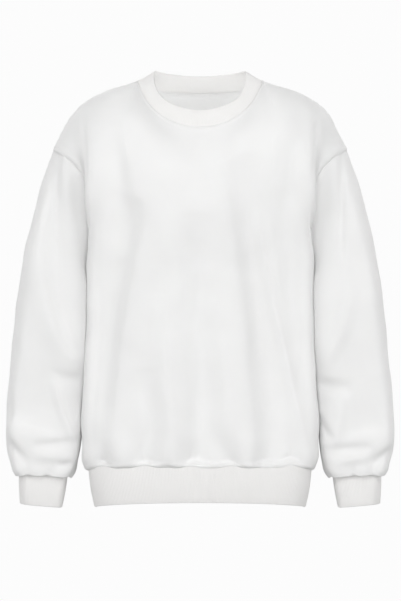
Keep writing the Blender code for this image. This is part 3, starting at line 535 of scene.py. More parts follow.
# Relief of a whole body panel: topstitched above the hem seam, below the neck seam and inside
# the armholes, plain along the side seams and the shoulder seams.
def panelRelief(grid, seed):
    up, across = distanceAlong(grid, 0), distanceAlong(grid, 1)
    edges = (  # distance from the edge, distance along it, share of it that is topstitched
        (up, across[:1], 1.0),
        (up[-1:] - up, across[-1:], isNeckColumn[None, :]),
        (across, up[:, :1], yokeShare[:, None]),
        (across[:, -1:] - across, up[:, -1:], yokeShare[:, None]),
    )
    relief = np.zeros(grid.shape[:2])
    for number, (distance, along, share) in enumerate(edges):
        plain = plainRelief(distance, along, seed + number)
        stitched = stitchedRelief(distance, along, seed + number)
        relief += plain + (stitched - plain) * share
    return relief


# how far each point of a grid lies from the nearest of its four edges
def edgeDistance(grid):
    up, across = distanceAlong(grid, 0), distanceAlong(grid, 1)
    return np.minimum(np.minimum(up, up[-1:] - up), np.minimum(across, across[:, -1:] - across))


# A body panel: its surface sinks in along its normals by the gathers, the folds and a soft
# unevenness. The folds fade where the cloth turns to its side, so that they don't narrow the body.
def bodyPanel(name, lines, otherLines, armholeLine, sense, seed):
    grid = panelSurface(lines, otherLines, armholeLine)
    grid[:, :, 2] += hemLift(grid, hemGathers[name])
    normal = normalsOf(grid, False, sense)
    inside = np.zeros(grid.shape[:2])
    inside[1:-1, 1:-1] = 1.0
    seamFade = smooth(edgeDistance(grid) / body["foldSeamFade"])
    facingShare = smooth((abs(normal[:, :, 1]) - body["foldFacing"]) / body["foldFacingReach"])
    depth = hemGatherDepth(grid, hemGathers[name])
    depth -= body["uneven"] * unevenness(grid, seed) * seamFade
    depth += foldDepth(grid, bodyFolds[name]) * seamFade * facingShare
    grid = grid - normal * (depth * inside)[:, :, None]
    return clothPiece(name, grid, sense, False, cloth["fleeceWall"])


frontLines = panelLines(-1, body["frontYoke"], frontNeckLine, frontArmholeLine)
backLines = panelLines(1, body["backYoke"], backNeckLine, backArmholeLine)
front = bodyPanel("front", frontLines, backLines, frontArmholeLine, sense=1, seed=11)
back = bodyPanel("back", backLines, frontLines, backArmholeLine, sense=-1, seed=23)
print("body panels shaped:", front["grid"].shape[:2])


# which points of a piece lie on its edges, and the direction from there into the piece
def bordersOf(piece):
    grid = piece["grid"]
    into = np.zeros_like(grid)

    def addEdge(pick, beside):
        line, inner = grid[pick], grid[beside]
        if piece["closed"]:
            along = np.roll(line, -1, axis=0) - np.roll(line, 1, axis=0)
        else:
            along = np.gradient(line, axis=0)
        into[pick] += unit(squareTo(inner - line, unit(along)))

    onBorder = np.zeros(grid.shape[:2], bool)
    onBorder[[0, -1]] = True
    addEdge(np.s_[0], np.s_[1])
    addEdge(np.s_[-1], np.s_[-2])
    if not piece["closed"]:
        onBorder[:, [0, -1]] = True
        addEdge(np.s_[:, 0], np.s_[:, 1])
        addEdge(np.s_[:, -1], np.s_[:, -2])
    return onBorder, unit(into[onBorder])


# Where pieces meet they get one normal, the mean of theirs, and each border is set back from the
# others by half of the seam gap. Points that meet are found by their rounded places.
def sewSeams(pieces):
    for piece in pieces:
        piece["onBorder"], piece["inwards"] = bordersOf(piece)
    places = np.concatenate([piece["grid"][piece["onBorder"]] for piece in pieces])
    normals = np.concatenate([piece["normal"][piece["onBorder"]] for piece in pieces])
    ways = np.concatenate([piece["inwards"] for piece in pieces])
    rounded = np.round(places * cloth["meetScale"])
    same = np.unique(rounded, axis=0, return_inverse=True)[1].ravel()
    members = np.bincount(same)[same][:, None]
    normalSum, waySum = np.zeros((2, same.max() + 1, 3))
    np.add.at(normalSum, same, normals)
    np.add.at(waySum, same, ways)
    shared = unit(normalSum[same])
    away = unit(squareTo(ways - (waySum[same] - ways) / np.maximum(members - 1, 1), shared))
    places = np.where(members > 1, places + away * cloth["seamGap"] / 2, places)
    normals = np.where(members > 1, shared, normals)
    start = 0
    for piece in pieces:
        stop = start + len(piece["inwards"])
        piece["outer"] = piece["grid"].copy()
        piece["outer"][piece["onBorder"]] = places[start:stop]
        piece["normal"][piece["onBorder"]] = normals[start:stop]
        start = stop
    print("seams sewn:", int((members > 1).sum()), "border points meet")


sleeve = {
    # distance from the armhole, outer end (x, z), inner end (x, z), front, back, bow, power
    "rings": (
        (0.05, (0.258, -0.16), (0.18, -0.307), -0.07, 0.075, 0.006, 2.7),
        (0.105, (0.273, -0.213), (0.1785, -0.327), -0.073, 0.077, 0.006, 3.0),
        (0.165, (0.2855, -0.266), (0.1765, -0.354), -0.075, 0.074, 0.005, 3.2),
        (0.235, (0.2975, -0.338), (0.1762, -0.402), -0.0765, 0.068, 0.004, 3.4),
        (0.345, (0.3096, -0.451), (0.1802, -0.475), -0.074, 0.056, 0.002, 3.6),
        (0.425, (0.3162, -0.53), (0.1885, -0.537), -0.075, 0.043, 0.0, 4.2),
        (0.475, (0.318, -0.58), (0.1938, -0.58), -0.0815, 0.035, 0.0, 4.3),
        (0.508, (0.3138, -0.616), (0.198, -0.614), -0.0805, 0.026, 0.0, 4.0),
        (0.527, (0.306, -0.6335), (0.205, -0.635), -0.078, 0.017, 0.0, 3.9),
        (0.543, (0.2965, -0.6425), (0.217, -0.647), -0.073, 0.006, 0.0, 3.4),
    ),
    "innerPowers": (2.4, 1.0),  # the rings are squarer at their inner end by this, front and back
    "uneven": 0.0009,
    "unevenFade": 0.02,  # distance from the armhole and the cuff over which it comes in
    "foldFacingReach": 0.5,  # folds come in over this share of front or back in the normal
    "folds": {  # given as the body's are
        "left": (
            ((-0.233, -0.08), (-0.236, -0.197), (-0.231, -0.345), 0.014, 0.008, 0.007),
            ((-0.231, -0.32), (-0.221, -0.391), (-0.195, -0.454), 0.01, 0.014, 0.005),
            ((-0.214, -0.14), (-0.214, -0.205), (-0.208, -0.29), 0.008, 0.012, -0.003),
            ((-0.264, -0.2), (-0.249, -0.378), (-0.194, -0.474), 0.02, 0.012, -0.0075),
            ((-0.244, -0.486), (-0.213, -0.489), (-0.182, -0.496), 0.014, 0.01, 0.004),
            ((-0.236, -0.48), (-0.226, -0.535), (-0.198, -0.6), 0.008, 0.006, -0.0055),
            ((-0.33, -0.536), (-0.268, -0.554), (-0.208, -0.573), 0.018, 0.038, 0.0095),
            ((-0.276, -0.598), (-0.236, -0.595), (-0.19, -0.589), 0.009, 0.007, 0.0055),
            ((-0.272, -0.614), (-0.236, -0.617), (-0.196, -0.617), 0.008, 0.008, -0.004),
            ((-0.324, -0.586), (-0.302, -0.608), (-0.276, -0.63), 0.011, 0.01, 0.008),
            ((-0.233, -0.629), (-0.22, -0.629), (-0.205, -0.627), 0.004, 0.004, 0.0045),
        ),
        "right": (
            ((0.232, -0.09), (0.232, -0.205), (0.229, -0.33), 0.007, 0.005, 0.005),
            ((0.248, -0.31), (0.232, -0.408), (0.196, -0.47), 0.014, 0.012, -0.005),
            ((0.18, -0.496), (0.217, -0.502), (0.25, -0.507), 0.01, 0.011, 0.0065),
            ((0.226, -0.51), (0.229, -0.545), (0.225, -0.58), 0.009, 0.012, -0.0035),
            ((0.222, -0.582), (0.267, -0.564), (0.32, -0.56), 0.017, 0.034, 0.0088),
            ((0.192, -0.545), (0.204, -0.576), (0.222, -0.59), 0.01, 0.01, 0.006),
            ((0.194, -0.605), (0.239, -0.604), (0.284, -0.599), 0.009, 0.009, 0.007),
            ((0.212, -0.63), (0.242, -0.621), (0.274, -0.617), 0.008, 0.008, -0.004),
            ((0.274, -0.632), (0.297, -0.617), (0.324, -0.603), 0.009, 0.009, 0.008),
        ),
    },
    "backFolds": (  # given for the +X sleeve
        ((0.262, -0.19), (0.25, -0.3), (0.215, -0.42), 0.012, 0.016, 0.007),
        ((0.205, -0.395), (0.245, -0.405), (0.29, -0.39), 0.012, 0.022, 0.007),
        ((0.21, -0.47), (0.25, -0.49), (0.3, -0.48), 0.012, 0.02, 0.0065),
        ((0.215, -0.57), (0.265, -0.58), (0.31, -0.56), 0.011, 0.024, 0.0085),
    ),
    # gathers above the cuff: share of the way round from the outer side, half width, depth, height
    "gathers": (
        (0.06, 0.022, 0.0035, 0.026), (0.17, 0.02, 0.004, 0.03),
        (0.27, 0.022, 0.004, 0.024), (0.39, 0.022, 0.0045, 0.03),
        (0.52, 0.024, 0.004, 0.028), (0.64, 0.022, 0.0045, 0.032),
        (0.76, 0.022, 0.004, 0.026), (0.88, 0.024, 0.004, 0.03),
    ),
    "gatherLevel": 0.25,  # the cloth between the gathers stands out by this share of their depth
}
fromTip = (1 - upperShares)[::-1]
sleeveTurns = np.pi * ringOf(fromTip, 2 - fromTip)
sleeveLength = sleeve["rings"][-1][0]
sleeveRows = sleeveLength * crowded(sleeveLength, 1, 1)


# A ring: middle + cos(turn) ** e * half length + sin(turn) ** e * depth, from its outer end round
# the front, each half read at shares of its length. e = 2 / power, which grows to the inner end.
def ringPoints(ring):
    outer, inner, frontY, backY, bow, power = ring[1:]
    ends = np.array([[outer[0], 0.0, outer[1]], [inner[0], 0.0, inner[1]]])
    turn = np.linspace(0.0, np.pi, cloth["ringPoints"])
    halves = []
    for facing, squarer in zip((-1, 1), sleeve["innerPowers"]):
        bend = 2 / (power * (1 + (squarer - 1) * (0.5 - 0.5 * np.cos(turn))))
        along = np.sign(np.cos(turn)) * abs(np.cos(turn)) ** bend
        across = np.sin(turn) ** bend
        points = ends.mean(axis=0) + along[:, None] * (ends[0] - ends[1]) / 2
        points[:, 1] += (frontY + backY) / 2 + facing * (backY - frontY) / 2 * across
        points[:, 2] -= bow * across**2
        halves.append(lineAt(points, fromTip))
    return ringOf(*halves)


# the +X sleeve: each column is a spline from the armhole down through the rings
def sleeveSurface():
    loop = ringOf(*[lineAt(line, 1 - fromTip) for line in (frontArmholeLine, backArmholeLine)])
    lines = np.array([loop, *[ringPoints(ring) for ring in sleeve["rings"]]])
    grid = spline([0.0, *[ring[0] for ring in sleeve["rings"]]], lines, sleeveRows)
    grid[0] = loop
    return grid


# how far the sleeve sinks into the gathers above its cuff: a bell round each
def cuffGatherDepth():
    around = sleeveTurns / (2 * np.pi)
    above = (sleeveRows[-1] - sleeveRows)[:, None]
    depth = np.zeros((len(sleeveRows), len(sleeveTurns)))
    for place, width, deep, tall in sleeve["gathers"]:
        off = ((around - place + 0.5) % 1.0 - 0.5) / width
        dent = bell(off) - sleeve["gatherLevel"]
        depth += deep * gatherSwell(np.clip(above / tall, 0.0, 1.0)) * dent[None, :]
    return depth


# sleeve of one side: sign is 1 for +X, the right of the view from the front
def sleevePiece(side, sign, seed):
    grid = sleeveSurface()
    normal = normalsOf(grid, True, 1)
    facing = normal[:, :, 1] / sleeve["foldFacingReach"]
    depth = foldDepth(grid * (sign, 1, 1), sleeve["folds"][side]) * smooth(-facing)
    depth += foldDepth(grid, sleeve["backFolds"]) * smooth(facing) + cuffGatherDepth()
    fromEnd = np.minimum(sleeveRows, sleeveRows[-1] - sleeveRows)
    endFade = smooth(fromEnd / sleeve["unevenFade"])[:, None]
    depth -= sleeve["uneven"] * unevenness(grid, seed) * endFade
    depth[[0, -1]] = 0.0
    grid = (grid - normal * depth[:, :, None]) * (sign, 1, 1)
    return clothPiece("sleeve_" + side, grid, sign, True, cloth["fleeceWall"])


bands = {
    "ribPitch": 0.0024,  # one rib and its furrow
    "ribDepth": 0.00036,
    "ribPower": 0.7,  # below 1, the ribs are broader than the furrows between them
    "ribSamples": 6,  # grid columns for each rib
    "ribLean": 0.5,  # the ribs wander sideways by up to this, in radians of their wave
    "ribLeanPitch": 0.02,
    "rowCell": 0.008,
    "ribFade": 0.003,  # the ribs grow lower towards the seam over this distance
    "ribAtSeam": 0.35,  # to this share of their depth
    "foldSteps": 6,  # rows round the folded edge
    "hemDrop": 0.055,  # from the hem seam to the bottom edge
    "hemTaper": (0.95, 0.96),  # the bottom edge's width and depth over the hem seam's
    "hemBulge": 0.0015,  # how far the band bows outwards between its seam and its edge
    # the cuff's end as a sleeve ring, led by its distance from the cuff's seam
    "cuffEnd": (0.054, (0.2952, -0.693), (0.2255, -0.699), -0.071, -0.001, 0.0, 2.4),
    "cuffBulge": 0.0008,
    "neckHeight": 0.028,
    "neckBulge": -0.0008,
    "neckTop": (  # top edge of the neckband, from the centre front to the centre back
        (0.0, -0.082, -0.0546), (0.028, -0.079, -0.05), (0.055, -0.066, -0.0381),
        (0.0735, -0.04, -0.0135), (0.0765, -0.004, 0.015), (0.066, 0.029, 0.0155),
        (0.04, 0.051, 0.0125), (0.0, 0.058, 0.0102),
    ),
    "neckTopSide": 4,  # the entry above the shoulder point
}


# rows of rings from a seam to a band's end, bowed outwards by a sine between them
def bandPiece(name, seam, end, bulge, sense, height):
    shares = crowded(height, 1, 0, bands["rowCell"])[:, None, None]
    grid = seam[None] * (1 - shares) + end[None] * shares
    grid = grid + normalsOf(grid, True, sense) * bulge * np.sin(np.pi * shares)
    grid[0] = seam
    return clothPiece(name, grid, sense, True, cloth["ribWall"])


def hemPiece():
    seam = ringOf(front["grid"][0], back["grid"][0])
    level, lift, wide = body["sections"][0][1:4]
    end = seam * (*bands["hemTaper"], 1.0)
    centreShare = np.sqrt(np.clip(1 - (seam[:, 0] / wide) ** 2, 0.0, 1.0))
    end[:, 2] = level - bands["hemDrop"] + lift * (seam[:, 1] < 0) * centreShare
    return bandPiece("hem_band", seam, end, bands["hemBulge"], -1, bands["hemDrop"])


def neckPiece():
    turn = bands["neckTopSide"]
    topFront, topBack = ringHalves(bands["neckTop"][: turn + 1], bands["neckTop"][turn:])
    shares = bothWays(neckShares) / 2 + 0.5
    seam = ringOf(*[piece["grid"][-1, isNeckColumn] for piece in (front, back)])
    end = ringOf(lineAt(topFront, shares), lineAt(topBack, shares))
    return bandPiece("neckband", seam, end, bands["neckBulge"], 1, bands["neckHeight"])


def cuffPiece(side, sign, sleevePart):
    end = ringPoints(bands["cuffEnd"]) * (sign, 1, 1)
    return bandPiece("cuff_" + side, sleevePart["grid"][-1], end, bands["cuffBulge"], sign,
                     bands["cuffEnd"][0])


sleeveLeft = sleevePiece("left", -1, seed=37)
sleeveRight = sleevePiece("right", 1, seed=41)
hemBand = hemPiece()
neckband = neckPiece()
cuffLeft = cuffPiece("left", -1, sleeveLeft)
cuffRight = cuffPiece("right", 1, sleeveRight)
panels = [front, back, sleeveLeft, sleeveRight]
ribPieces = [hemBand, neckband, cuffLeft, cuffRight]
sewSeams(panels + ribPieces)


# relief of a sleeve: plain at the armhole, topstitched above the cuff
def sleeveRelief(grid, seed):
    down, around = distanceAlong(grid, 0), distanceAlong(grid, 1)
    relief = plainRelief(down, around[:1], seed)
    return relief + stitchedRelief(down[-1:] - down, around[-1:], seed + 1)


def addRelief(piece, relief):
    piece["outer"] = piece["outer"] + piece["normal"] * relief[:, :, None]
    normal = normalsOf(piece["outer"], piece["closed"], piece["sense"])
    piece["normal"] = np.where(piece["onBorder"][:, :, None], piece["normal"], normal)


addRelief(front, panelRelief(front["outer"], seed=101))
addRelief(back, panelRelief(back["outer"], seed=121))
addRelief(sleeveLeft, sleeveRelief(sleeveLeft["outer"], seed=37))
addRelief(sleeveRight, sleeveRelief(sleeveRight["outer"], seed=41))
print("seam relief added to", len(panels), "pieces")


# the number of each point of a grid
def numbered(rows, columns):
    return np.arange(rows * columns).reshape(rows, columns)


# Quads between neighbouring points of index grids, with the cloth coordinates (metres across,
# metres along) of their corners. closedColumns and closedRows join the last to the first.
def gridFaces(index, u, v, closedColumns, closedRows):
    if closedColumns:
        index = np.concatenate([index, index[:, :1]], axis=1)
        u = np.concatenate([u, 2 * u[:, -1:] - u[:, -2:-1]], axis=1)
        v = np.concatenate([v, v[:, :1]], axis=1)
    if closedRows:
        index = np.concatenate([index, index[:1]])
        u = np.concatenate([u, u[:1]])
        v = np.concatenate([v, 2 * v[-1:] - v[-2:-1]])
    corners = (np.s_[:-1, :-1], np.s_[:-1, 1:], np.s_[1:, 1:], np.s_[1:, :-1])
    faces = np.stack([index[c].ravel() for c in corners], axis=1)
    uvs = np.stack([np.stack([u[c].ravel(), v[c].ravel()], axis=1) for c in corners], axis=1)
    return faces, uvs


# mesh object from points and lists of corners, with cloth coordinates where they are given
def makeObject(name, points, faces, material, uvs=None):
    mesh = bpy.data.meshes.new(name)
    mesh.from_pydata(points.reshape(-1, 3).tolist(), [], faces)
    if uvs is not None:
        layer = mesh.uv_layers.new(name="cloth")
        layer.data.foreach_set("uv", uvs.reshape(-1).astype(np.float32))
    mesh.validate()
    mesh.shade_smooth()
    mesh.materials.append(material)
    made = bpy.data.objects.new(name, mesh)
    bpy.context.scene.collection.objects.link(made)
    return made


# A fleece piece as a closed thin shell: its outer grid, the same grid moved in by the wall, and
# strips that join their edges.
def shellObject(piece, material):
    outer, closed = piece["outer"], piece["closed"]
    inner = outer - piece["normal"] * piece["wall"]
    index = numbered(*outer.shape[:2])
    u, v = distanceAlong(outer, 1), distanceAlong(outer, 0)
    inside = gridFaces(index + index.size, u, v, closed, False)
    parts = [gridFaces(index, u, v, closed, False), (inside[0][:, ::-1], inside[1][:, ::-1])]
    edges = [(np.s_[0], 1), (np.s_[-1], -1)]
    if not closed:
        edges += [(np.s_[:, 0], -1), (np.s_[:, -1], 1)]
    for pick, turn in edges:
        strip = np.stack([index[pick] + index.size, index[pick]][::turn])
        across, along = np.stack([u[pick]] * 2), np.stack([v[pick]] * 2)
        parts.append(gridFaces(strip, across, along, closed, False))
    faces, uvs = [np.concatenate(part)[:, :: piece["sense"]] for part in zip(*parts)]
    points = np.stack([outer, inner])
    return makeObject(piece["name"] + "_cloth", points, faces.tolist(), material, uvs)


# A band of folded rib: its rows run down the outside, round the folded edge as a half circle and
# up the inside. Ribs are a power of a raised cosine round the band, lower beside the seam.
def ribbedObject(piece, material, seed):
    outer, normal, wall = piece["outer"], piece["normal"], piece["wall"]
    seamLine = np.concatenate([outer[0], outer[0, :1]])
    knots = chordKnots(seamLine)
    girth = knots[-1]
    ribs = round(girth / bands["ribPitch"])
    at = np.arange(ribs * bands["ribSamples"]) / (ribs * bands["ribSamples"]) * girth
    extra = 4  # columns repeated before and after, so that the join is smooth
    wrapped = np.concatenate([knots[-1 - extra : -1] - girth, knots, girth + knots[1 : extra + 1]])

    def roundTheBand(grid):
        lines = np.swapaxes(grid, 0, 1)
        lines = np.concatenate([lines[-extra:], lines, lines[: extra + 1]])
        return np.swapaxes(spline(wrapped, lines, at), 0, 1)

    outer, normal = roundTheBand(outer), unit(roundTheBand(normal))
    down = distanceAlong(outer, 0)
    phase = 2 * np.pi * np.arange(len(at)) / bands["ribSamples"]
    lean = bands["ribLean"] * wander(at, bands["ribLeanPitch"], seed)
    rib = (0.5 + 0.5 * np.cos(phase + lean)) ** bands["ribPower"] - 1.0
    fade = bands["ribAtSeam"] + (1 - bands["ribAtSeam"]) * smooth(down / bands["ribFade"])
    relief = bands["ribDepth"] * rib[None, :] * fade
    relief -= seams["groove"] * bell(down / seams["grooveWidth"])
    away = unit(squareTo(outer[-1] - outer[-2], normal[-1]))
    middle = outer - normal * wall / 2
    half = (wall / 2 + relief)[:, :, None]
    turn = np.linspace(0.0, np.pi, bands["foldSteps"] + 1)[1:-1, None, None]
    fold = middle[-1] + (normal[-1] * np.cos(turn) + away * np.sin(turn)) * half[-1]
    points = np.concatenate([middle + normal * half, fold, (middle - normal * half)[::-1]])
    index = numbered(*points.shape[:2])
    u, v = np.broadcast_to(at, index.shape), distanceAlong(points, 0)
    faces, uvs = gridFaces(index, u, v, True, True)
    faces, uvs = faces[:, :: piece["sense"]], uvs[:, :: piece["sense"]]
    return makeObject(piece["name"] + "_rib", points, faces.tolist(), material, uvs)


stitch = {
    "pitch": 0.0034,
    "length": 0.0029,
    "halfWidth": 0.00042,
    "halfHeight": 0.00034,
    "lift": 0.0001,  # how far the thread's middle lies above the cloth
    "rings": 5,
    "sides": 5,
    "endPlace": 0.96,  # share of the way to a bead's tips at which it ends
    "aheadStep": 0.0004,  # the thread's direction is read this far before and after
}


# A row of stitches along a line: each is a bead stretched along it, thick in the middle. A ring
# point is line(s) + side * cos * half width + normal * sin * half height, times the thickness.
def stitchPoints(line, normals):
    along = chordKnots(line)
    count = int(along[-1] / stitch["pitch"])
    share = np.linspace(-1.0, 1.0, stitch["rings"])
    place = (np.arange(count)[:, None] + 0.5) * along[-1] / count + share * stitch["length"] / 2

    def read(values, at):
        return np.stack([np.interp(at, along, values[:, k]) for k in range(3)], axis=-1)

    middle = read(line, place)
    step = stitch["aheadStep"]
    ahead = unit(read(line, place + step) - read(line, place - step))
    side = unit(np.cross(read(normals, place), ahead))
    up = np.cross(ahead, side)
    thick = np.sqrt(1 - (stitch["endPlace"] * share) ** 2)[None, :, None, None]
    turn = 2 * np.pi * np.arange(stitch["sides"]) / stitch["sides"]
    ringSide = side[:, :, None, :] * (np.cos(turn) * stitch["halfWidth"])[None, None, :, None]
    ringUp = up[:, :, None, :] * (np.sin(turn) * stitch["halfHeight"])[None, None, :, None]
    return (middle + up * stitch["lift"])[:, :, None, :] + (ringSide + ringUp) * thick


# several rows of stitches as one mesh of open-ended tubes closed by end faces
def stitchObject(name, lines, material):
    points = np.concatenate([stitchPoints(line, normals) for line, normals in lines])
    count, rings, sides = points.shape[:3]
    index = numbered(rings, sides)
    after = np.roll(index, -1, axis=1)
    quads = np.stack([index[:-1], after[:-1], after[1:], index[1:]], axis=-1).reshape(-1, 4)
    start = (np.arange(count) * rings * sides)[:, None, None]
    quads = (quads[None] + start).reshape(-1, 4)
    caps = np.stack([index[0, ::-1], index[-1]])
    caps = (caps[None] + start).reshape(-1, sides)
    return makeObject(name, points, quads.tolist() + caps.tolist(), material)


# the line on a grid that lies at a distance from its first row, with its normals
def lineAtDistance(points, normals, distance, wanted):
    row = np.clip((distance < wanted).sum(axis=0), 1, len(points) - 1)
    column = np.arange(points.shape[1])
    low, high = distance[row - 1, column], distance[row, column]
    share = ((wanted - low) / (high - low))[:, None]
    line = points[row - 1, column] * (1 - share) + points[row, column] * share
    normal = normals[row - 1, column] * (1 - share) + normals[row, column] * share
    return line, unit(normal)


# one loop from two lines that start at the same end, each a pair of points and normals
def looped(first, second):
    return tuple(np.concatenate([a, b[::-1], a[:1]]) for a, b in zip(first, second))


# The thread rows beside an edge of both body panels, as closed loops. cutOut takes the part of a
# grid beside that edge, with the edge as its first row.
def bodyThreads(cutOut):
    loops = []
    for wanted in seams["threadPlaces"]:
        halves = []
        for piece in (front, back):
            points, normals = cutOut(piece["outer"]), cutOut(piece["normal"])
            halves.append(lineAtDistance(points, normals, distanceAlong(points, 0), wanted))
        loops.append(looped(*halves))
    return loops


isYokeRow = bodyRows >= body["sideLength"]
threadLines = {
    "stitches_hem": bodyThreads(lambda grid: grid),
    "stitches_neck": bodyThreads(lambda grid: grid[::-1][:, isNeckColumn]),
    "stitches_armhole_left": bodyThreads(lambda grid: np.swapaxes(grid[isYokeRow], 0, 1)),
    "stitches_armhole_right": bodyThreads(
        lambda grid: np.swapaxes(grid[isYokeRow][:, ::-1], 0, 1)
    ),
}
for side, piece in (("left", sleeveLeft), ("right", sleeveRight)):
    points, normals = piece["outer"][::-1], piece["normal"][::-1]
    fromCuff = distanceAlong(points, 0)
    rows = [lineAtDistance(points, normals, fromCuff, wanted) for wanted in seams["threadPlaces"]]
    threadLines["stitches_cuff_" + side] = [
        tuple(np.concatenate([a, a[:1]]) for a in row) for row in rows
    ]

finish = {
    "fleeceColour": (0.875, 0.875, 0.87, 1.0),
    "fleeceShade": (0.845, 0.845, 0.842, 1.0),  # the other end of the faint mottling
    "ribColour": (0.875, 0.868, 0.858, 1.0),
    "ribShade": (0.845, 0.838, 0.828, 1.0),
    "threadColour": (0.88, 0.878, 0.872, 1.0),
    "mottleScale": 22.0,
    "mottleDetail": 3.0,
    "fuzzScale": 620.0,
    "fuzzDetail": 4.0,
    "fuzzHeight": 0.00022,
    "walePitch": 0.0013,  # knit columns on the fleece's face
    "coursePitch": 0.001,
    "knitHeight": 0.00012,
    "knitStrength": 0.5,
    "sheen": 0.25,
    "sheenRoughness": 0.5,
    "roughness": 0.95,
    "specular": 0.2,
}


# a new node with its values, each the default of a socket where there is one of that name
def nodeOf(tree, kind, **values):
    node = tree.nodes.new(kind)
    for key, value in values.items():
        if key in node.inputs:
            node.inputs[key].default_value = value
        else:
            setattr(node, key, value)
    return node


# sine of a cloth coordinate with the given pitch, as a node
def waveNode(tree, coordinate, pitch):
    times = nodeOf(tree, "ShaderNodeMath", operation="MULTIPLY")
    times.inputs[1].default_value = 2 * math.pi / pitch
    tree.links.new(coordinate, times.inputs[0])
    sine = nodeOf(tree, "ShaderNodeMath", operation="SINE")
    tree.links.new(times.outputs[0], sine.inputs[0])
    return sine.outputs[0]


# Knit cloth: a faint mottled colour from object noise, and a bump of fibre fuzz with the knit's
# columns and rows from the piece's own cloth coordinates.
def knitMaterial(name, colour, shade, knit):
    made = bpy.data.materials.new(name)
    made.use_nodes = True
    tree = made.node_tree
    link = tree.links.new
    shader = tree.nodes["Principled BSDF"]
    shader.inputs["Roughness"].default_value = finish["roughness"]
    shader.inputs["Sheen Weight"].default_value = finish["sheen"]
    shader.inputs["Sheen Roughness"].default_value = finish["sheenRoughness"]
    shader.inputs["Specular IOR Level"].default_value = finish["specular"]
    place = nodeOf(tree, "ShaderNodeTexCoord").outputs["Object"]
    mottle = nodeOf(tree, "ShaderNodeTexNoise", Scale=finish["mottleScale"],
                    Detail=finish["mottleDetail"])
    link(place, mottle.inputs["Vector"])
    mix = nodeOf(tree, "ShaderNodeMix", data_type="RGBA")
    mix.inputs[6].default_value = colour
    mix.inputs[7].default_value = shade
    link(mottle.outputs["Fac"], mix.inputs[0])
    link(mix.outputs[2], shader.inputs["Base Color"])
    fuzz = nodeOf(tree, "ShaderNodeTexNoise", Scale=finish["fuzzScale"],
                  Detail=finish["fuzzDetail"])
    link(place, fuzz.inputs["Vector"])
    bump = nodeOf(tree, "ShaderNodeBump", Distance=finish["fuzzHeight"], Strength=1.0)
    link(fuzz.outputs["Fac"], bump.inputs["Height"])
    last = bump
    if knit:
        weave = nodeOf(tree, "ShaderNodeUVMap", uv_map="cloth")
        split = nodeOf(tree, "ShaderNodeSeparateXYZ")
        link(weave.outputs[0], split.inputs[0])
        both = nodeOf(tree, "ShaderNodeMath", operation="ADD")
        link(waveNode(tree, split.outputs["X"], finish["walePitch"]), both.inputs[0])
        link(waveNode(tree, split.outputs["Y"], finish["coursePitch"]), both.inputs[1])
        last = nodeOf(tree, "ShaderNodeBump", Distance=finish["knitHeight"],
                      Strength=finish["knitStrength"])
        link(both.outputs[0], last.inputs["Height"])
        link(bump.outputs["Normal"], last.inputs["Normal"])
    link(last.outputs["Normal"], shader.inputs["Normal"])
    return made


fleece = knitMaterial("fleece", finish["fleeceColour"], finish["fleeceShade"], True)
rib = knitMaterial("rib", finish["ribColour"], finish["ribShade"], True)
thread = knitMaterial("thread", finish["threadColour"], finish["threadColour"], False)

objects = {}
for piece in panels:
    objects[piece["name"]] = shellObject(piece, fleece)
for number, piece in enumerate(ribPieces):
    objects[piece["name"]] = ribbedObject(piece, rib, seed=60 + number)
for name, lines in threadLines.items():
    objects[name] = stitchObject(name, lines, thread)
print("pieces made:", {name: len(made.data.polygons) for name, made in objects.items()})

for name, made in objects.items():
    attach(made, "root")
    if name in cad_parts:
        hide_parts(name)

studio = {
    "distance": 5.0,  # from the camera to the garment's middle
    "height": -0.3624,  # of the camera, which looks level
    "aimX": 0.0007,  # how far it stands towards +X
    "viewHeight": 0.992,  # height of the picture at the garment, in metres
    "sensor": 36.0,
    "floorZ": -1.25,
    "floorPoints": 121,  # grid points along each side of the floor
    "floorReach": 20.4,  # from the middle to its sides
    "flatRadius": 14.0,  # the floor begins to turn up here
    "farRadius": 20.0,
    "rise": 24.0,  # how far it has risen at the far radius
    "backdropGlow": 0.975,
    "worldStrength": 0.445,  # even light from all round
}

camera = bpy.data.objects.new("camera", bpy.data.cameras.new("camera"))
camera.data.sensor_fit = "VERTICAL"
camera.data.sensor_height = studio["sensor"]
camera.data.lens = studio["sensor"] * studio["distance"] / studio["viewHeight"]
camera.location = (studio["aimX"], -studio["distance"], studio["height"])
camera.rotation_euler = (math.pi / 2, 0.0, 0.0)
bpy.context.scene.collection.objects.link(camera)
bpy.context.scene.camera = camera


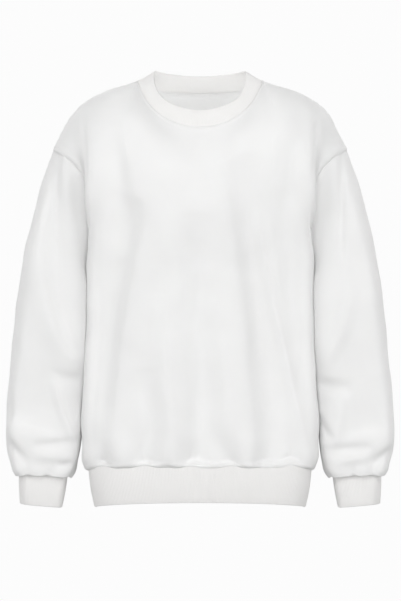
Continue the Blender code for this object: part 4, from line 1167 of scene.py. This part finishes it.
# A floor that turns up far away on all sides: z = floor + rise * smooth(share of the way from the
# flat radius to the far radius), over an even grid in x and y.
def makeStage():
    side = np.linspace(-studio["floorReach"], studio["floorReach"], studio["floorPoints"])
    x, y = np.meshgrid(side, side)
    away = (np.hypot(x, y) - studio["flatRadius"]) / (studio["farRadius"] - studio["flatRadius"])
    points = np.stack([x, y, studio["floorZ"] + studio["rise"] * smooth(away)], axis=-1)
    faces, uvs = gridFaces(numbered(*x.shape), x, y, False, False)
    glow = bpy.data.materials.new("backdrop")
    glow.use_nodes = True
    tree = glow.node_tree
    tree.nodes.clear()
    light = nodeOf(tree, "ShaderNodeEmission", Color=(1.0, 1.0, 1.0, 1.0),
                   Strength=studio["backdropGlow"])
    output = nodeOf(tree, "ShaderNodeOutputMaterial")
    tree.links.new(light.outputs[0], output.inputs["Surface"])
    made = makeObject("backdrop", points, faces.tolist(), glow, uvs)
    made.visible_diffuse = made.visible_glossy = made.visible_shadow = False


makeStage()

lights = {
    # place, aim, size, power in watts
    "front": ((0.0, -4.2, -1.2), (0.0, 0.0, -0.45), 2.0, 21.0),
    "frontLeft": ((-3.4, -2.9, 0.3), (0.0, 0.0, -0.36), 2.2, 52.0),
    "frontRight": ((3.4, -2.9, 0.3), (0.0, 0.0, -0.36), 2.2, 52.0),
    "high": ((0.0, -3.6, 2.4), (0.0, 0.0, -0.36), 2.0, 48.0),
    "top": ((0.0, -0.6, 3.2), (0.0, 0.0, -0.36), 2.0, 6.0),
    "backLeft": ((-3.0, 3.4, 0.3), (0.0, 0.0, -0.36), 2.2, 46.0),
    "backRight": ((3.0, 3.4, 0.3), (0.0, 0.0, -0.36), 2.2, 46.0),
    "backHigh": ((0.0, 3.9, 2.2), (0.0, 0.0, -0.36), 2.0, 55.0),
    "inside": ((0.0, -0.01, -0.2), (0.0, 0.06, -0.02), 0.12, 0.2),
}
# area lights look down their own -Z, so each is tilted and turned towards its aim
for name, (place, aim, size, power) in lights.items():
    lamp = bpy.data.lights.new(name, "AREA")
    lamp.size = size
    lamp.energy = power
    made = bpy.data.objects.new(name, lamp)
    made.location = place
    way = np.subtract(aim, place)
    made.rotation_euler = (math.atan2(math.hypot(way[0], way[1]), -way[2]), 0.0,
                           math.atan2(-way[0], way[1]))
    bpy.context.scene.collection.objects.link(made)

world = bpy.data.worlds.new("studio")
world.use_nodes = True
background = world.node_tree.nodes["Background"]
background.inputs["Color"].default_value = (1.0, 1.0, 1.0, 1.0)
background.inputs["Strength"].default_value = studio["worldStrength"]
bpy.context.scene.world = world
bpy.context.scene.view_settings.view_transform = "Standard"
print("studio set")
